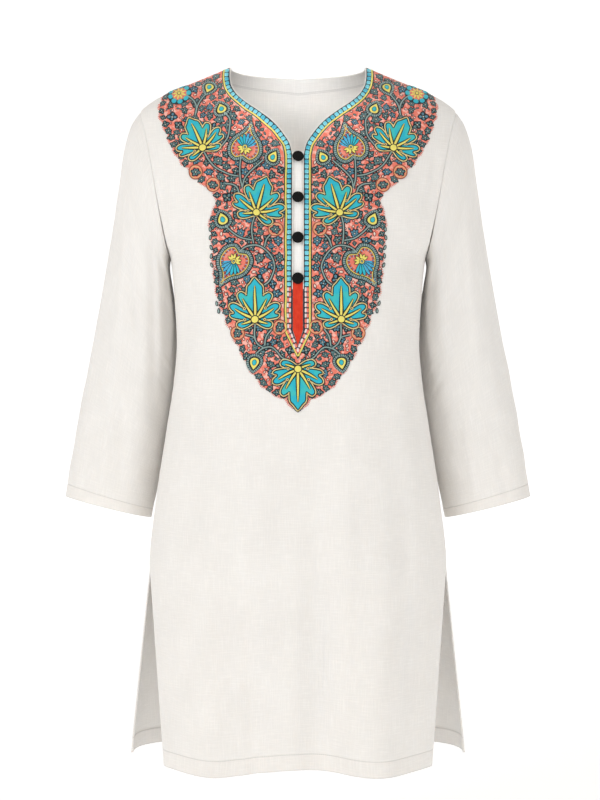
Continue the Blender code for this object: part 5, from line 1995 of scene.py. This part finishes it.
# %% [markdown]
# ## A white studio
# The garment stands before a white floor and wall, which glow a little, as a lit studio
# sweep does. The sky gives an even light. Two large soft lights in front, stronger from the
# left, make the folds read, and a narrow one reaches into the neck. None of this is part of
# the garment.
# %% Floor, wall and light
FLOOR_HEIGHT = -0.99  # metres
WALL_BEHIND = 6.0
WALL_TOP = 5
STUDIO_HALF = 7
STUDIO_GREY, GLOW = 0.80, 0.44
SKY_COLOUR, SKY_STRENGTH = (1.0, 0.97, 0.93, 1), 0.60


def studio_white():
    white = Finish("studio white", roughness=0.95)
    white.feed(Base_Color=(STUDIO_GREY, STUDIO_GREY, STUDIO_GREY, 1))
    white.feed(Emission_Color=(1, 1, 1, 1), Emission_Strength=GLOW)
    return white.material


def stage(name, corners):
    mesh = bpy.data.meshes.new(name)
    mesh.from_pydata(corners, [], [(0, 1, 2, 3)])
    mesh.materials.append(STUDIO_WHITE)
    thing = bpy.data.objects.new(name, mesh)
    bpy.context.scene.collection.objects.link(thing)


STUDIO_WHITE = studio_white()
ways = ((-1, -1), (1, -1), (1, 1), (-1, 1))
stage("floor", [(STUDIO_HALF * x, STUDIO_HALF * y, FLOOR_HEIGHT) for x, y in ways])
ends = {-1: FLOOR_HEIGHT, 1: WALL_TOP}
stage("wall", [(STUDIO_HALF * x, WALL_BEHIND, ends[z]) for x, z in ways])

world = bpy.data.worlds.new("sky")
bpy.context.scene.world = world
world.use_nodes = True
sky = world.node_tree.nodes["Background"].inputs
sky["Color"].default_value = SKY_COLOUR
sky["Strength"].default_value = SKY_STRENGTH


def soft_light(name, place, width, height, watts, at, spread=180):
    light = bpy.data.lights.new(name, "AREA")
    light.shape = "RECTANGLE"
    light.size, light.size_y = width, height
    light.energy = watts
    light.spread = math.radians(spread)
    lamp = bpy.data.objects.new(name, light)
    lamp.location = place
    lamp.rotation_euler = (Vector(at) - Vector(place)).to_track_quat("-Z", "Y").to_euler()
    bpy.context.scene.collection.objects.link(lamp)


soft_light("window light", (-1.9, -2.0, 0.7), 1.2, 1.4, 24.2, at=(0, 0, -0.2))
soft_light("front light", (1.9, -2.5, 0.4), 1.5, 1.5, 16.5, at=(0, 0, -0.2))
soft_light("neck light", (0, -0.9, 0.03), 0.12, 0.03, 0.054, at=(0, 0.05, -0.022), spread=17)
bpy.context.scene.view_settings.view_transform = "Standard"
print("sky", SKY_STRENGTH, "floor at", FLOOR_HEIGHT)

# %% [markdown] ## The cutter's sizes Every sheet of cloth is printed with the size it was
# cut to.
CUTS = (  # name, width and length of the cloth it is cut from, how it is held
    ("front_cloth", 0.56, 0.90, "hung"),
    ("back_cloth", 0.58, 0.92, "hung"),
    ("sleeve_left_cloth", 0.42, 0.54, "hung"),
    ("sleeve_right_cloth", 0.42, 0.54, "hung"),
    ("facing_cloth", 0.22, 0.04, "laid"),
    ("placket_strip", 0.032, 0.18, "hung"),
    ("yoke_ground", 0.42, 0.42, "laid"),
    ("border_band", 0.0192, 0.41, "laid"),
    ("tab_cloth", 0.014, 0.075, "laid"),
)
for name, width, length, held in CUTS:
    flat = area(name)
    print(f"{name}: cut from {width} by {length} m, {flat:.3f} square metres")
